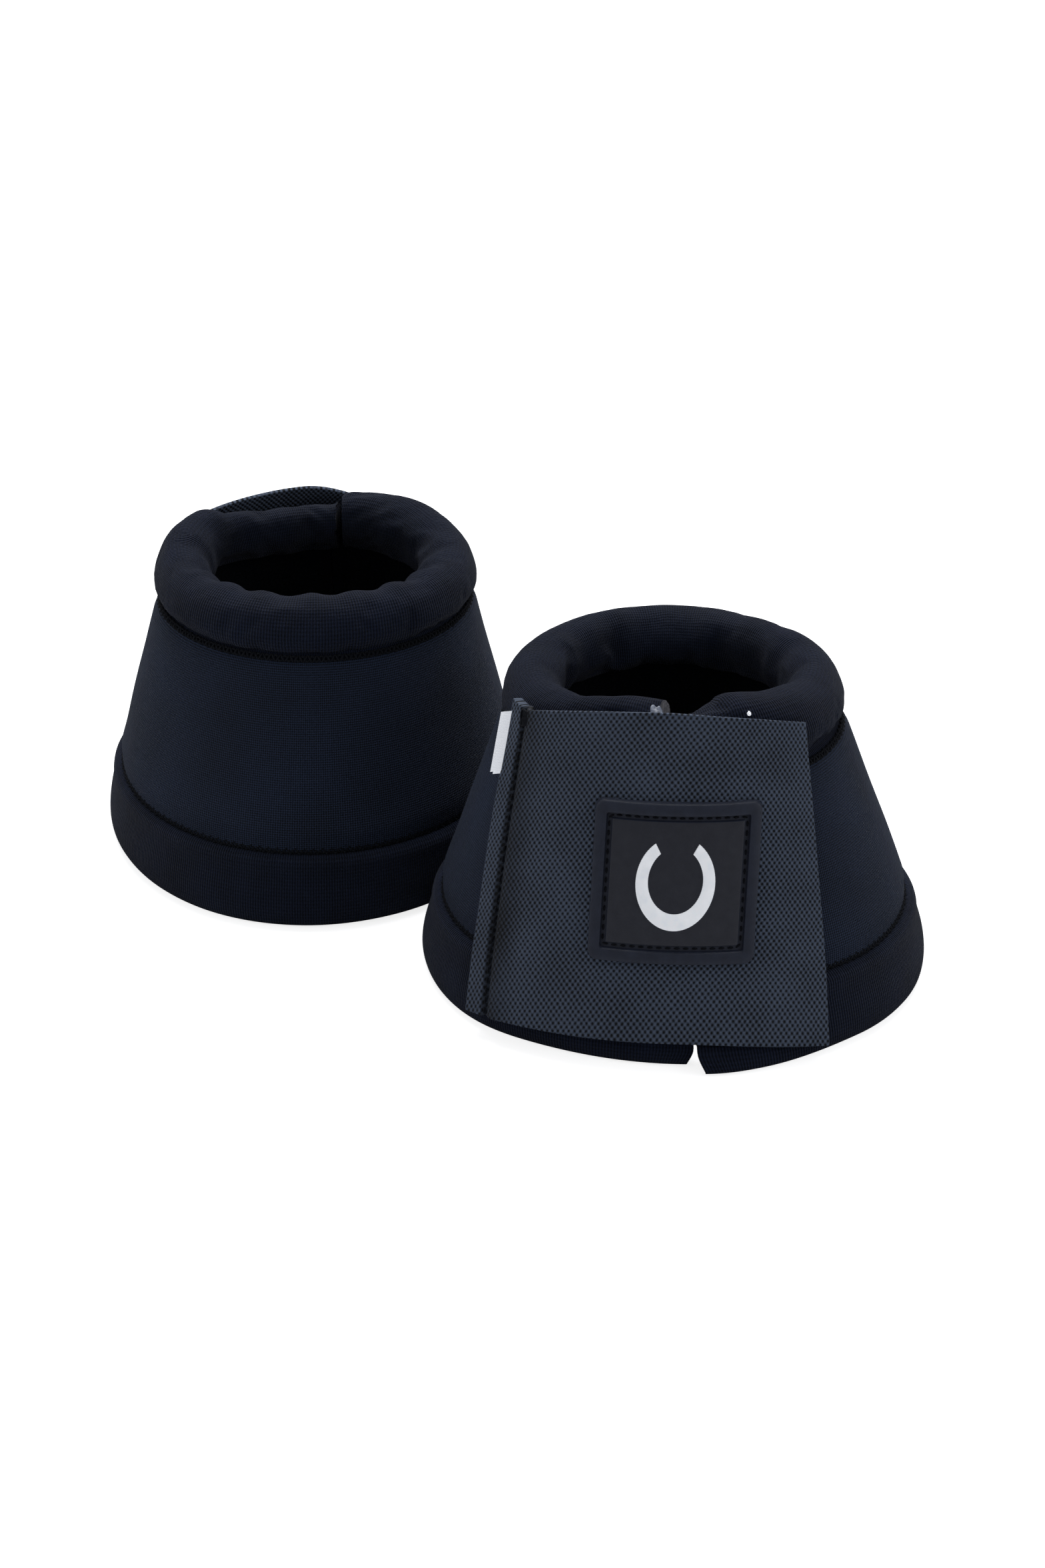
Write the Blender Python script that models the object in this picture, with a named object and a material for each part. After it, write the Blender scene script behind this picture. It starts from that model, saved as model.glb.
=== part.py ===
# A pair of bell boots for a horse's front feet, in metres, +Z up.
# Each boot is a soft ring that opens at its front. It is built as a left and a right half that
# turn on a vertical line at the outermost point of its back, and as a strap that turns on its
# sewn edge. The near boot's front looks along -Y. The far boot is its mirror image, looking along +Y.

import math

import bmesh
import bpy
from mathutils import Vector

mm = 0.001

# Skirt wall: a cone between its lower edge and its upper edge, measured on its outside.
skirt_low_radius = 82.0 * mm
skirt_low_z = 27.5 * mm
skirt_top_radius = 59.8 * mm
skirt_top_z = 93.0 * mm
cover_thickness = 1.0 * mm
core_thickness = 3.5 * mm
lining_thickness = 0.8 * mm
core_top_margin = 0.8 * mm

# Hem band below the wall, its flat underside on the ground.
hem_flare = 5.5 * mm
hem_thickness = 8.5 * mm
hem_bottom_round = 2.3 * mm
hem_notch_depth = 1.8 * mm
hem_notch_height = 2.7 * mm
hem_shoulder_height = 4.6 * mm
hem_belly_z = 10.0 * mm
hem_belly_round = 0.7 * mm

# Collar roll, an oval section whose long axis runs along the wall.
collar_half_width = 10.0 * mm
collar_half_height = 12.0 * mm
collar_rise = 11.6 * mm
collar_proud = 1.2 * mm
sleeve_thickness = 0.8 * mm
tape_width = 4.6 * mm
tape_thickness = 0.8 * mm

# Threads.
lower_thread_radius = 0.8 * mm
lower_thread_sides = 6
upper_thread_width = 2.6 * mm
upper_thread_height = 1.0 * mm
seam_thread_width = 0.9 * mm
seam_thread_height = 0.6 * mm

# Strap and what it carries. Angles run round the boot from the middle of its front, in degrees.
loop_thickness = 0.9 * mm
hook_thickness = 0.9 * mm
strap_thickness = 1.6 * mm
strap_rise = 15.3 * mm
strap_top_bow = 7.7 * mm
strap_foot_bow = 3.2 * mm
strap_low_z = 7.0 * mm
strap_foot_clearance = 3.6 * mm
seam_top_angle = -60.0
seam_low_angle = -47.5
strap_end_top_angle = 47.5
strap_end_low_angle = 35.5
margin_width = 10.0 * mm
patch_end_inset = 4.0 * mm
seam_thread_inset = 2.5 * mm
seam_thread_end = 4.0 * mm
hook_width = 32.0 * mm
hook_margin = 2.5 * mm
loop_width = 30.0 * mm
loop_margin = 3.5 * mm
label_width = 8.0 * mm
label_height = 22.0 * mm
label_thickness = 0.8 * mm
label_drop = 6.3 * mm

# Badge on the strap.
badge_width = 56.0 * mm
badge_height = 51.0 * mm
badge_corner = 5.0 * mm
badge_thickness = 2.2 * mm
badge_centre_x = -1.0 * mm
badge_rise = 9.7 * mm
badge_lean = 3.0 * mm
groove_inset = 4.5 * mm
groove_width = 1.6 * mm
groove_depth = 1.0 * mm
badge_thread_width = 0.8 * mm
badge_thread_height = 0.5 * mm
emblem_radius = 13.5 * mm
emblem_band = 4.5 * mm
emblem_thickness = 0.6 * mm
emblem_opening = 70.0

# Clearances between neighbours.
gap = 0.3 * mm
end_gap = 0.5 * mm
seam_gap = 0.8 * mm
hem_gap = 0.4 * mm
thread_gap = 0.6 * mm
boot_gap = 2.0 * mm

# The ring of a boot is made in equal steps. Its front opening lies a little right of the middle.
ring_steps = 29
left_steps = 15
front_angle = 2.5
right_steps = ring_steps - left_steps
step_angle = 360.0 / ring_steps
back_angle = front_angle - left_steps * step_angle

# How each soft boot has settled: its skirt leans off the collar and is pressed oval at the ground,
# and the strap pulls a part of its front flat.
settle = {
    "near": {
        "facing": 1,
        "lean": Vector((1.8 * mm, -5.0 * mm)),
        "oval": 2.1 * mm,
        "press_angle": -5.0,
        "press_width": 65.0,
        "press": 7.5 * mm,
    },
    "far": {
        "facing": -1,
        "lean": Vector((-1.4 * mm, 4.1 * mm)),
        "oval": -8.8 * mm,
        "press_angle": -25.0,
        "press_width": 50.0,
        "press": 4.0 * mm,
    },
}
pair_direction = math.radians(139.4)

# Values worked out from the sizes above.
wall_run = math.hypot(skirt_low_radius - skirt_top_radius, skirt_top_z - skirt_low_z)
wall_sin = (skirt_low_radius - skirt_top_radius) / wall_run
wall_cos = (skirt_top_z - skirt_low_z) / wall_run
core_depth = cover_thickness + gap
lining_depth = core_depth + core_thickness + gap
wall_depth = lining_depth + lining_thickness
rim_radius = skirt_low_radius + hem_flare
cutter_reach = 2 * rim_radius
collar_depth = collar_half_width - collar_proud
collar_along = wall_run + collar_rise
upper_thread_depth = -gap - upper_thread_height
over_wall = max(-upper_thread_depth, collar_proud) + gap
hook_depth = gap + loop_thickness + gap
strap_depth = hook_depth + hook_thickness + gap
strap_out = strap_depth + strap_thickness
badge_depth = strap_out + end_gap
badge_out = badge_depth + badge_thickness
emblem_depth = badge_out + gap
strap_top_z = skirt_top_z + strap_rise
label_top_z = strap_top_z - label_drop
badge_centre_z = skirt_low_z + badge_rise + badge_height / 2
seam_view = (seam_top_angle + seam_low_angle) / 2
end_view = (strap_end_top_angle + strap_end_low_angle) / 2

materials = {}


def clear_scene():
    for thing in list(bpy.data.objects):
        bpy.data.objects.remove(thing)


def make_material(name, colour, roughness, metallic=0.0):
    material = bpy.data.materials.new(name)
    material.use_nodes = True
    shader = material.node_tree.nodes["Principled BSDF"]
    shader.inputs["Base Color"].default_value = (*colour, 1.0)
    shader.inputs["Roughness"].default_value = roughness
    shader.inputs["Metallic"].default_value = metallic
    materials[name] = material


def new_collection(name):
    collection = bpy.data.collections.new(name)
    bpy.context.scene.collection.children.link(collection)
    return collection


def wall_point(depth, along):
    # A point (radius, z) from its depth inside the wall's outer line and its way up that line.
    radius = skirt_low_radius - wall_cos * depth - wall_sin * along
    height = skirt_low_z - wall_sin * depth + wall_cos * along
    return (radius, height)


def wall_along(height, depth):
    # The way up the wall's line at which a point of this depth has this height.
    return (height - skirt_low_z + wall_sin * depth) / wall_cos


def wall_section(depth, thickness, low, high):
    inner = depth + thickness
    return [wall_point(depth, low), wall_point(depth, high), wall_point(inner, high), wall_point(inner, low)]


def collar_loop(shrink):
    points = []
    for index in range(8):
        turn = math.radians(22.5 + 45.0 * index)
        depth = collar_depth - (collar_half_width - shrink) * math.cos(turn)
        along = collar_along + (collar_half_height - shrink) * math.sin(turn)
        points.append(wall_point(depth, along))
    return points


def hem_section():
    outer_corner = wall_point(hem_notch_depth, -hem_gap)
    inner_corner = wall_point(wall_depth, -hem_gap)
    inner_radius = rim_radius - hem_thickness
    shoulder_z = outer_corner[1] - hem_notch_height
    return [
        outer_corner,
        (skirt_low_radius + hem_flare / 3, shoulder_z),
        (rim_radius - hem_flare / 3, shoulder_z - hem_shoulder_height),
        (rim_radius, hem_belly_z),
        (rim_radius - hem_belly_round, hem_bottom_round),
        (rim_radius - hem_bottom_round, 0.0),
        (inner_radius + hem_bottom_round, 0.0),
        (inner_radius, hem_bottom_round),
        inner_corner,
    ]


def round_section(centre, radius, sides):
    points = []
    for index in range(sides):
        turn = 2 * math.pi * index / sides
        points.append((centre[0] + radius * math.cos(turn), centre[1] + radius * math.sin(turn)))
    return points


def strap_section(depth, thickness):
    # Runs straight over collar and wall, then hangs a little steeper over the hem.
    outer = depth + thickness
    top = [wall_point(-depth, wall_along(strap_top_z, -depth)), wall_point(-outer, wall_along(strap_top_z, -outer))]
    bend = [wall_point(-outer, 0.0), wall_point(-depth, 0.0)]
    foot_radius = rim_radius + strap_foot_clearance + depth - strap_depth
    foot = [(foot_radius + thickness, strap_low_z), (foot_radius, strap_low_z)]
    return [*top, bend[0], *foot, bend[1]]


class Boot:
    # One boot: its empties, its settled shape and the functions that make its pieces.

    def __init__(self, prefix, parts, cutters):
        self.prefix = prefix
        self.parts = parts
        self.cutters = cutters
        self.facing = settle[prefix]["facing"]
        self.lean = settle[prefix]["lean"]
        self.oval = settle[prefix]["oval"]
        self.press = settle[prefix]["press"]
        self.press_angle = settle[prefix]["press_angle"]
        self.press_width = settle[prefix]["press_width"]
        self.settle_height = wall_point(collar_depth, collar_along)[1]
        self.centre = self.add_empty(prefix + "_boot", None, Vector((0.0, 0.0, 0.0)))

    def add_empty(self, name, parent, place):
        empty = bpy.data.objects.new(name, None)
        empty.empty_display_size = 0.02
        empty.location = place
        empty.parent = parent
        self.parts.objects.link(empty)
        return empty

    def settled(self, point):
        # Moves a point of the plain round boot to where the soft boot holds it.
        share = 1.0 - point.z / self.settle_height
        radius = max(math.hypot(point.x, point.y), 1.0 * mm)
        x = point.x + share * (self.oval * point.x / radius + self.lean.x)
        y = point.y + share * (-self.oval * point.y / radius + self.lean.y)
        reach = min(abs(self.angle_of(point) - self.press_angle) / self.press_width, 1.0)
        press = self.press * (1.0 + math.cos(math.pi * reach)) / 2
        return Vector((x, y, point.z)) - self.outward(self.press_angle) * press

    def angle_of(self, point):
        return math.degrees(math.atan2(point.x, -self.facing * point.y))

    def straight_cut(self, point):
        # Webbing is cut straight: wrapped round a cone, its edges rise towards their middle.
        middle = (seam_top_angle + strap_end_top_angle) / 2
        half = (strap_end_top_angle - seam_top_angle) / 2
        share = max(0.0, 1.0 - ((self.angle_of(point) - middle) / half) ** 2)
        if point.z > skirt_top_z:
            rise = strap_top_bow * share
        elif point.z < skirt_low_z / 2:
            rise = strap_foot_bow * share
        else:
            return point
        radius = math.hypot(point.x, point.y)
        inward = rise * wall_sin / wall_cos / radius
        return Vector((point.x * (1.0 - inward), point.y * (1.0 - inward), point.z + rise))

    def on_ring(self, radius, height, angle):
        turn = math.radians(angle)
        return Vector((radius * math.sin(turn), -self.facing * radius * math.cos(turn), height))

    def add_mesh(self, name, mesh_data, collection, parent=None):
        mesh = bpy.data.meshes.new(name)
        bmesh.ops.recalc_face_normals(mesh_data, faces=mesh_data.faces)
        mesh_data.to_mesh(mesh)
        mesh_data.free()
        thing = bpy.data.objects.new(name, mesh)
        collection.objects.link(thing)
        thing.parent = parent or self.centre
        if parent and parent is not self.centre:
            thing.location = -parent.location
        return thing

    def ring(self, name, loops, start, end, steps, material, parent=None, collection=None, cut_straight=False):
        # Turns a section about the boot's axis. Two loops make a tube, one makes a solid.
        data = bmesh.new()
        edges = []
        for loop in loops:
            corners = [data.verts.new(self.on_ring(radius, height, start)) for radius, height in loop]
            for index, corner in enumerate(corners):
                edges.append(data.edges.new((corner, corners[index - 1])))
        if len(loops) == 1:
            bmesh.ops.contextual_create(data, geom=edges)
        else:
            bmesh.ops.bridge_loops(data, edges=edges)
        sweep = math.radians(end - start) * self.facing
        everything = data.verts[:] + data.edges[:] + data.faces[:]
        bmesh.ops.spin(data, geom=everything, cent=(0, 0, 0), axis=(0, 0, 1), angle=sweep, steps=steps)
        for vertex in data.verts:
            plain = self.straight_cut(vertex.co) if cut_straight else vertex.co
            vertex.co = self.settled(plain)
        # The short diagonal everywhere, so that neighbouring layers bend alike.
        bmesh.ops.triangulate(data, faces=data.faces, quad_method="SHORT_EDGE", ngon_method="BEAUTY")
        thing = self.add_mesh(name, data, collection or self.parts, parent)
        if material:
            thing.data.materials.append(materials[material])
            thing.data.shade_smooth()
            thing.data.set_sharp_from_angle(angle=math.radians(35))
        return thing

    def halves(self, piece, loops, material, radius):
        # A ring piece in its left and its right half, with clear ends at the back and the front.
        pad = math.degrees(end_gap / 2 / radius)
        name = self.prefix + "_" + piece
        left = (front_angle - pad, back_angle + pad)
        right = (front_angle + pad, back_angle + 360.0 - pad)
        self.ring(name + "_left", loops, *left, left_steps, material, self.left)
        self.ring(name + "_right", loops, *right, right_steps, material, self.right)

    def across(self, angle):
        # The level direction across the boot, seen from this angle.
        turn = math.radians(angle)
        return Vector((math.cos(turn), self.facing * math.sin(turn), 0.0))

    def outward(self, angle):
        turn = math.radians(angle)
        return Vector((math.sin(turn), -self.facing * math.cos(turn), 0.0))

    def prism(self, name, angle, outlines):
        # A cutter: outlines drawn across and up, as seen from this angle, carried right through.
        data = bmesh.new()
        edges = []
        reach = self.outward(angle) * cutter_reach
        for outline in outlines:
            corners = []
            for across, height in outline:
                corners.append(data.verts.new(self.across(angle) * across - reach + Vector((0, 0, height))))
            for index, corner in enumerate(corners):
                edges.append(data.edges.new((corner, corners[index - 1])))
        if len(outlines) == 1:
            bmesh.ops.contextual_create(data, geom=edges)
        else:
            bmesh.ops.bridge_loops(data, edges=edges)
        result = bmesh.ops.extrude_face_region(data, geom=data.faces[:])
        moved = [item for item in result["geom"] if isinstance(item, bmesh.types.BMVert)]
        bmesh.ops.translate(data, verts=moved, vec=reach * 2)
        return self.hide(self.add_mesh(self.prefix + "_" + name, data, self.cutters))

    def hide(self, thing):
        thing.hide_render = True
        thing.display_type = "WIRE"
        return thing

    def cut(self, thing, operation, cutter):
        modifier = thing.modifiers.new(operation.lower(), "BOOLEAN")
        modifier.operation = operation
        modifier.solver = "EXACT"
        modifier.object = cutter
        return thing

    def patch(self, piece, section, cuts, material, parent, low_step=-8, high_step=5, cut_straight=False):
        # A piece of sheet on the front: a ring of the same steps, cut to its outlines.
        name = self.prefix + "_" + piece
        start = front_angle + low_step * step_angle
        end = front_angle + high_step * step_angle
        steps = high_step - low_step
        thing = self.ring(name, [section], start, end, steps, material, parent, cut_straight=cut_straight)
        for index, (angle, outlines) in enumerate(cuts):
            cutter = self.prism(piece + "_outline_" + str(index), angle, outlines)
            self.cut(thing, "INTERSECT", cutter)
        return thing

    def edge_point(self, angle, height):
        # A point on the strap's outer face.
        radius = wall_point(-strap_out, wall_along(height, -strap_out))[0]
        return self.settled(self.on_ring(radius, height, angle))

    def edge_line(self, top_angle, low_angle, view):
        # A straight edge of the strap, seen from an angle: its distance across at any height.
        top = self.edge_point(top_angle, strap_top_z).dot(self.across(view))
        low = self.edge_point(low_angle, skirt_low_z).dot(self.across(view))

        def across_at(height):
            return low + (top - low) * (height - skirt_low_z) / (strap_top_z - skirt_low_z)

        return across_at


def box_between(left, right, low, high):
    # An outline between two slanted lines, from one height to another.
    return [(left(low), low), (right(low), low), (right(high), high), (left(high), high)]


def moved(line, distance):
    return lambda height: line(height) + distance


def rounded_square(inset):
    # The badge's outline moved inwards by the inset, with its round corners and its slight lean.
    half_width = badge_width / 2 - inset
    half_height = badge_height / 2 - inset
    radius = max(badge_corner - inset, 1.0 * mm)
    points = []
    for corner, (side_x, side_z) in enumerate(((1, 1), (-1, 1), (-1, -1), (1, -1))):
        for step in range(4):
            turn = math.radians(90.0 * corner + 30.0 * step)
            x = side_x * (half_width - radius) + radius * math.cos(turn)
            z = side_z * (half_height - radius) + radius * math.sin(turn)
            points.append((badge_centre_x + x + badge_lean * z / badge_height, badge_centre_z + z))
    return points


def horseshoe():
    # A horseshoe with its open end up.
    points = []
    start = 90.0 + emblem_opening / 2
    sweep = 360.0 - emblem_opening
    steps = 10
    for index in range(steps + 1):
        turn = math.radians(start + sweep * index / steps)
        x = emblem_radius * math.cos(turn)
        z = emblem_radius * 1.1 * math.sin(turn)
        points.append((badge_centre_x + x, badge_centre_z + z))
    inner = emblem_radius - emblem_band
    for index in range(steps, -1, -1):
        turn = math.radians(start + sweep * index / steps)
        x = inner * math.cos(turn)
        z = inner * 1.1 * math.sin(turn)
        points.append((badge_centre_x + x, badge_centre_z + z))
    return points


def add_wall(boot):
    cover = wall_section(0.0, cover_thickness, 0.0, wall_run)
    boot.halves("cover", [cover], "woven_nylon", skirt_top_radius)
    core = wall_section(core_depth, core_thickness, 0.0, wall_run - core_top_margin)
    boot.halves("core", [core], "neoprene", skirt_top_radius)
    lining = wall_section(lining_depth, lining_thickness, 0.0, wall_run - core_top_margin)
    boot.halves("lining", [lining], "lining_jersey", skirt_top_radius)


def add_hem(boot):
    boot.halves("hem", [hem_section()], "rib_jersey", skirt_low_radius)
    # The thread lies in the ditch between the cover's lower edge and the hem's notch.
    centre = wall_point(0.0, -thread_gap - lower_thread_radius)
    thread = round_section(centre, lower_thread_radius, lower_thread_sides)
    boot.halves("lower_overlock", [thread], "thread", skirt_low_radius)


def add_collar(boot):
    outer = collar_loop(0.0)
    boot.halves("collar_sleeve", [outer, collar_loop(sleeve_thickness)], "rib_jersey", skirt_top_radius)
    boot.halves("collar_foam", [collar_loop(sleeve_thickness + gap)], "foam", skirt_top_radius)
    tape = wall_section(0.0, tape_thickness, wall_run + gap, wall_run + gap + tape_width)
    boot.halves("collar_tape", [tape], "rib_jersey", skirt_top_radius)
    middle = wall_run + gap / 2
    low = middle - upper_thread_width / 2
    high = middle + upper_thread_width / 2
    thread = wall_section(upper_thread_depth, upper_thread_height, low, high)
    boot.halves("upper_overlock", [thread], "thread", skirt_top_radius)


def seam_line(boot):
    return boot.edge_line(seam_top_angle, seam_low_angle, seam_view)


def end_line(boot):
    return boot.edge_line(strap_end_top_angle, strap_end_low_angle, end_view)


def add_strap(boot):
    low = strap_low_z - gap
    high = strap_top_z + strap_top_bow + gap
    seam = seam_line(boot)
    end = end_line(boot)
    right_of_all = moved(seam, 2 * cutter_reach)
    left_of_all = moved(end, -2 * cutter_reach)
    body = [
        (seam_view, [box_between(moved(seam, seam_gap), right_of_all, low, high)]),
        (end_view, [box_between(left_of_all, end, low, high)]),
    ]
    section = strap_section(strap_depth, strap_thickness)
    boot.patch("strap", section, body, "webbing", boot.strap, cut_straight=True)
    margin = strap_section(over_wall, strap_out - over_wall)
    outline = box_between(moved(seam, -margin_width), seam, low, high)
    boot.patch("strap_margin", margin, [(seam_view, [outline])], "webbing", boot.left, -9, 0)
    middle = moved(seam, -seam_thread_inset)
    half = seam_thread_width / 2
    ends = (strap_low_z + seam_thread_end, strap_top_z - end_gap)
    outline = box_between(moved(middle, -half), moved(middle, half), *ends)
    section = strap_section(strap_out + gap, seam_thread_height)
    boot.patch("strap_seam_thread", section, [(seam_view, [outline])], "thread", boot.left, -9, 0)


def patch_cut(boot, width, margin):
    # The patches keep a margin to the wall's upper and lower edges.
    right = moved(end_line(boot), -patch_end_inset)
    return [(end_view, [box_between(moved(right, -width), right, skirt_low_z + margin, skirt_top_z - margin)])]


def add_closure(boot):
    section = wall_section(-hook_depth - hook_thickness, hook_thickness, 0.0, wall_run)
    boot.patch("hook_patch", section, patch_cut(boot, hook_width, hook_margin), "hook_tape", boot.strap, -1, 5)
    section = wall_section(-gap - loop_thickness, loop_thickness, 0.0, wall_run)
    boot.patch("loop_patch", section, patch_cut(boot, loop_width, loop_margin), "loop_tape", boot.right, 0, 5)
    right = moved(seam_line(boot), -margin_width - gap)
    outline = box_between(moved(right, -label_width), right, label_top_z - label_height, label_top_z)
    section = wall_section(-over_wall - label_thickness, label_thickness, 0.0, collar_along)
    boot.patch("label", section, [(seam_view, [outline])], "label_satin", boot.left, -10, 0)


def badge_layer(depth, thickness):
    return wall_section(depth, thickness, 0.0, wall_along(strap_top_z, depth))


def add_badge(boot):
    section = badge_layer(-badge_out, badge_thickness)
    badge = boot.patch("badge", section, [(0.0, [rounded_square(0.0)])], "rubber", boot.strap, -4, 4)
    groove = badge_layer(-badge_out - gap, groove_depth + gap)
    ring = [rounded_square(groove_inset), rounded_square(groove_inset + groove_width)]
    start = front_angle - 4 * step_angle
    end = front_angle + 4 * step_angle
    name = boot.prefix + "_badge_groove"
    cutter = boot.hide(boot.ring(name, [groove], start, end, 8, None, boot.strap, boot.cutters))
    boot.cut(cutter, "INTERSECT", boot.prism("badge_groove_outline", 0.0, ring))
    boot.cut(badge, "DIFFERENCE", cutter)
    floor_depth = badge_out - groove_depth + gap
    section = badge_layer(-floor_depth - badge_thread_height, badge_thread_height)
    inset = groove_inset + (groove_width - badge_thread_width) / 2
    ring = [rounded_square(inset), rounded_square(inset + badge_thread_width)]
    boot.patch("badge_thread", section, [(0.0, ring)], "thread", boot.strap, -4, 4)
    section = badge_layer(-emblem_depth - emblem_thickness, emblem_thickness)
    boot.patch("badge_emblem", section, [(0.0, [horseshoe()])], "white_rubber", boot.strap, -4, 4)


def add_boot(prefix, parts, cutters):
    boot = Boot(prefix, parts, cutters)
    # The shell's halves turn on a vertical line just outside the hem at the back.
    back = boot.settled(boot.on_ring(rim_radius + gap, 0.0, back_angle))
    moving = "right" if prefix == "near" else "left"
    hinge = boot.add_empty(prefix + "_shell_hinge", boot.centre, back)
    boot.left = hinge if moving == "left" else boot.centre
    boot.right = hinge if moving == "right" else boot.centre
    # The strap turns on the straight line along its sewn edge, on its outer face.
    seam_middle = boot.across(seam_view) * (seam_gap / 2)
    seam_low = boot.edge_point(seam_low_angle, skirt_low_z) + seam_middle
    seam_top = boot.edge_point(seam_top_angle, strap_top_z) + seam_middle
    seam = boot.add_empty(prefix + "_strap_hinge", boot.centre, seam_low)
    boot.strap = seam
    add_wall(boot)
    add_hem(boot)
    add_collar(boot)
    add_strap(boot)
    add_closure(boot)
    add_badge(boot)
    return boot, back, seam_low, (seam_top - seam_low).normalized()


def rim_reach(boot, direction):
    # The rim's radius in a direction, as an oval.
    along_x = rim_radius + boot.oval
    along_y = rim_radius - boot.oval
    return 1 / math.hypot(math.cos(direction) / along_x, math.sin(direction) / along_y)


def place_pair(near, far):
    # The rims stand a small gap apart, and the pair's box has its middle on the origin.
    distance = rim_reach(near, pair_direction) + rim_reach(far, pair_direction) + boot_gap
    apart = Vector((math.cos(pair_direction), math.sin(pair_direction))) * distance + near.lean - far.lean
    far.centre.location = (apart.x, apart.y, 0.0)
    bpy.context.view_layer.update()
    graph = bpy.context.evaluated_depsgraph_get()
    low = Vector((1.0, 1.0, 1.0))
    high = -low
    for thing in near.parts.objects:
        if thing.type != "MESH":
            continue
        shape = thing.evaluated_get(graph)
        for corner in shape.data.vertices:
            place = shape.matrix_world @ corner.co
            low = Vector(map(min, low, place))
            high = Vector(map(max, high, place))
    middle = (low + high) / 2
    shift = Vector((middle.x, middle.y, 0.0))
    near.centre.location = near.centre.location - shift
    far.centre.location = far.centre.location - shift
    bpy.context.view_layer.update()
    return low - shift, high - shift


def main():
    clear_scene()
    parts = new_collection("bell_boots")
    cutters = new_collection("cutters")
    make_material("woven_nylon", (0.010, 0.013, 0.024), 0.85)
    make_material("rib_jersey", (0.009, 0.011, 0.021), 0.95)
    make_material("neoprene", (0.012, 0.012, 0.014), 0.90)
    make_material("lining_jersey", (0.007, 0.008, 0.012), 0.95)
    make_material("foam", (0.120, 0.120, 0.130), 0.95)
    make_material("thread", (0.012, 0.015, 0.028), 0.70)
    make_material("webbing", (0.028, 0.036, 0.055), 0.85)
    make_material("hook_tape", (0.010, 0.010, 0.012), 0.80)
    make_material("loop_tape", (0.012, 0.013, 0.016), 1.00)
    make_material("rubber", (0.028, 0.034, 0.050), 0.55)
    make_material("white_rubber", (0.780, 0.800, 0.830), 0.50)
    make_material("label_satin", (0.780, 0.800, 0.880), 0.60)
    near = add_boot("near", parts, cutters)
    far = add_boot("far", parts, cutters)
    low, high = place_pair(near[0], far[0])
    print("box", [round(value, 5) for value in (*low, *high)])
    for boot, back, seam, direction in (near, far):
        centre = boot.centre.location
        print(boot.prefix, "centre", [round(value, 5) for value in centre])
        print(boot.prefix, "back axis", [round(value, 5) for value in centre + back])
        print(boot.prefix, "seam", [round(value, 5) for value in centre + seam], "along", direction[:])


main()
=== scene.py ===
import math

import bmesh
import bpy
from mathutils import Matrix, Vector, noise
from mathutils.bvhtree import BVHTree
from mathutils.geometry import area_tri


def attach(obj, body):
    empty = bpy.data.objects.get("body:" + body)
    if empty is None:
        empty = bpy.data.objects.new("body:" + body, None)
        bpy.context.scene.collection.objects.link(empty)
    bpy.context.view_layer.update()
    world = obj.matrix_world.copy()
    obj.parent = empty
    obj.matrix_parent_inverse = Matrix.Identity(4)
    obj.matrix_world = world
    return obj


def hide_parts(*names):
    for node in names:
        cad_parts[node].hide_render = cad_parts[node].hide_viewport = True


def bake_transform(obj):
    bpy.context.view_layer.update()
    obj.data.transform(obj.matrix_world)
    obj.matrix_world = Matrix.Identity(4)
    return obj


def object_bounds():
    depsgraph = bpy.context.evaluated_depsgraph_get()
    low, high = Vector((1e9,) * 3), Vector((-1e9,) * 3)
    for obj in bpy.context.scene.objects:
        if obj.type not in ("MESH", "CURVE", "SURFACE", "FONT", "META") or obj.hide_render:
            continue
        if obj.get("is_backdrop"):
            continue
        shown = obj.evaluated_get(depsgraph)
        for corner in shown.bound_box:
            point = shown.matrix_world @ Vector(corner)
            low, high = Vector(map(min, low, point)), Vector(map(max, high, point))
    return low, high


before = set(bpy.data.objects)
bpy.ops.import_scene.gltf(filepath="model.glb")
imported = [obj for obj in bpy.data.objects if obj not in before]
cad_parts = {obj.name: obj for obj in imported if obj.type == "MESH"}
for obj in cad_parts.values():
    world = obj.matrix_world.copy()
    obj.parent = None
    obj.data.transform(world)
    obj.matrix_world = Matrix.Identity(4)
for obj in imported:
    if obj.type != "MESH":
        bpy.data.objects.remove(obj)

cadBox = [[float(value) for value in corner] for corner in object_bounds()]
mm = 0.001
print("frame loaded:", len(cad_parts), "nodes")

# The round boot that both are made from, before each one settles on the ground.
cone = {
    "lowRadius": 82.0 * mm,
    "topRadius": 59.8 * mm,
    "lowZ": 27.5 * mm,
    "topZ": 93.0 * mm,
    "rimRadius": 87.5 * mm,
    "settleZ": 101.2 * mm,
    "splitAngle": 2.5,
    "backAngle": 176.3,
    "cutAngle": 62.0,
    "bendReach": 30.0 * mm,
}
wallRun = math.hypot(cone["lowRadius"] - cone["topRadius"], cone["topZ"] - cone["lowZ"])
wallSin = (cone["lowRadius"] - cone["topRadius"]) / wallRun
wallCos = (cone["topZ"] - cone["lowZ"]) / wallRun

boots = {
    "near": {
        "name": "near",
        "facing": 1,
        "middle": Vector((59.42, -59.62, 0.0)) * mm,
        "lean": (1.8 * mm, -5.0 * mm),
        "oval": 2.1 * mm,
        "press": 7.5 * mm,
        "pressAngle": -5.0,
        "pressWidth": 65.0,
        "split": 2.5,
    },
    "far": {
        "name": "far",
        "facing": -1,
        "middle": Vector((-69.98, 44.93, 0.0)) * mm,
        "lean": (-1.4 * mm, 4.1 * mm),
        "oval": -8.8 * mm,
        "press": 4.0 * mm,
        "pressAngle": -25.0,
        "pressWidth": 50.0,
        "split": 2.5,
    },
}


# Places on a boot.
def smooth(low, high, value):
    share = min(max((value - low) / (high - low), 0.0), 1.0)
    return share * share * (3.0 - 2.0 * share)


def wrapped(angle):
    return (angle + 180.0) % 360.0 - 180.0


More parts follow.
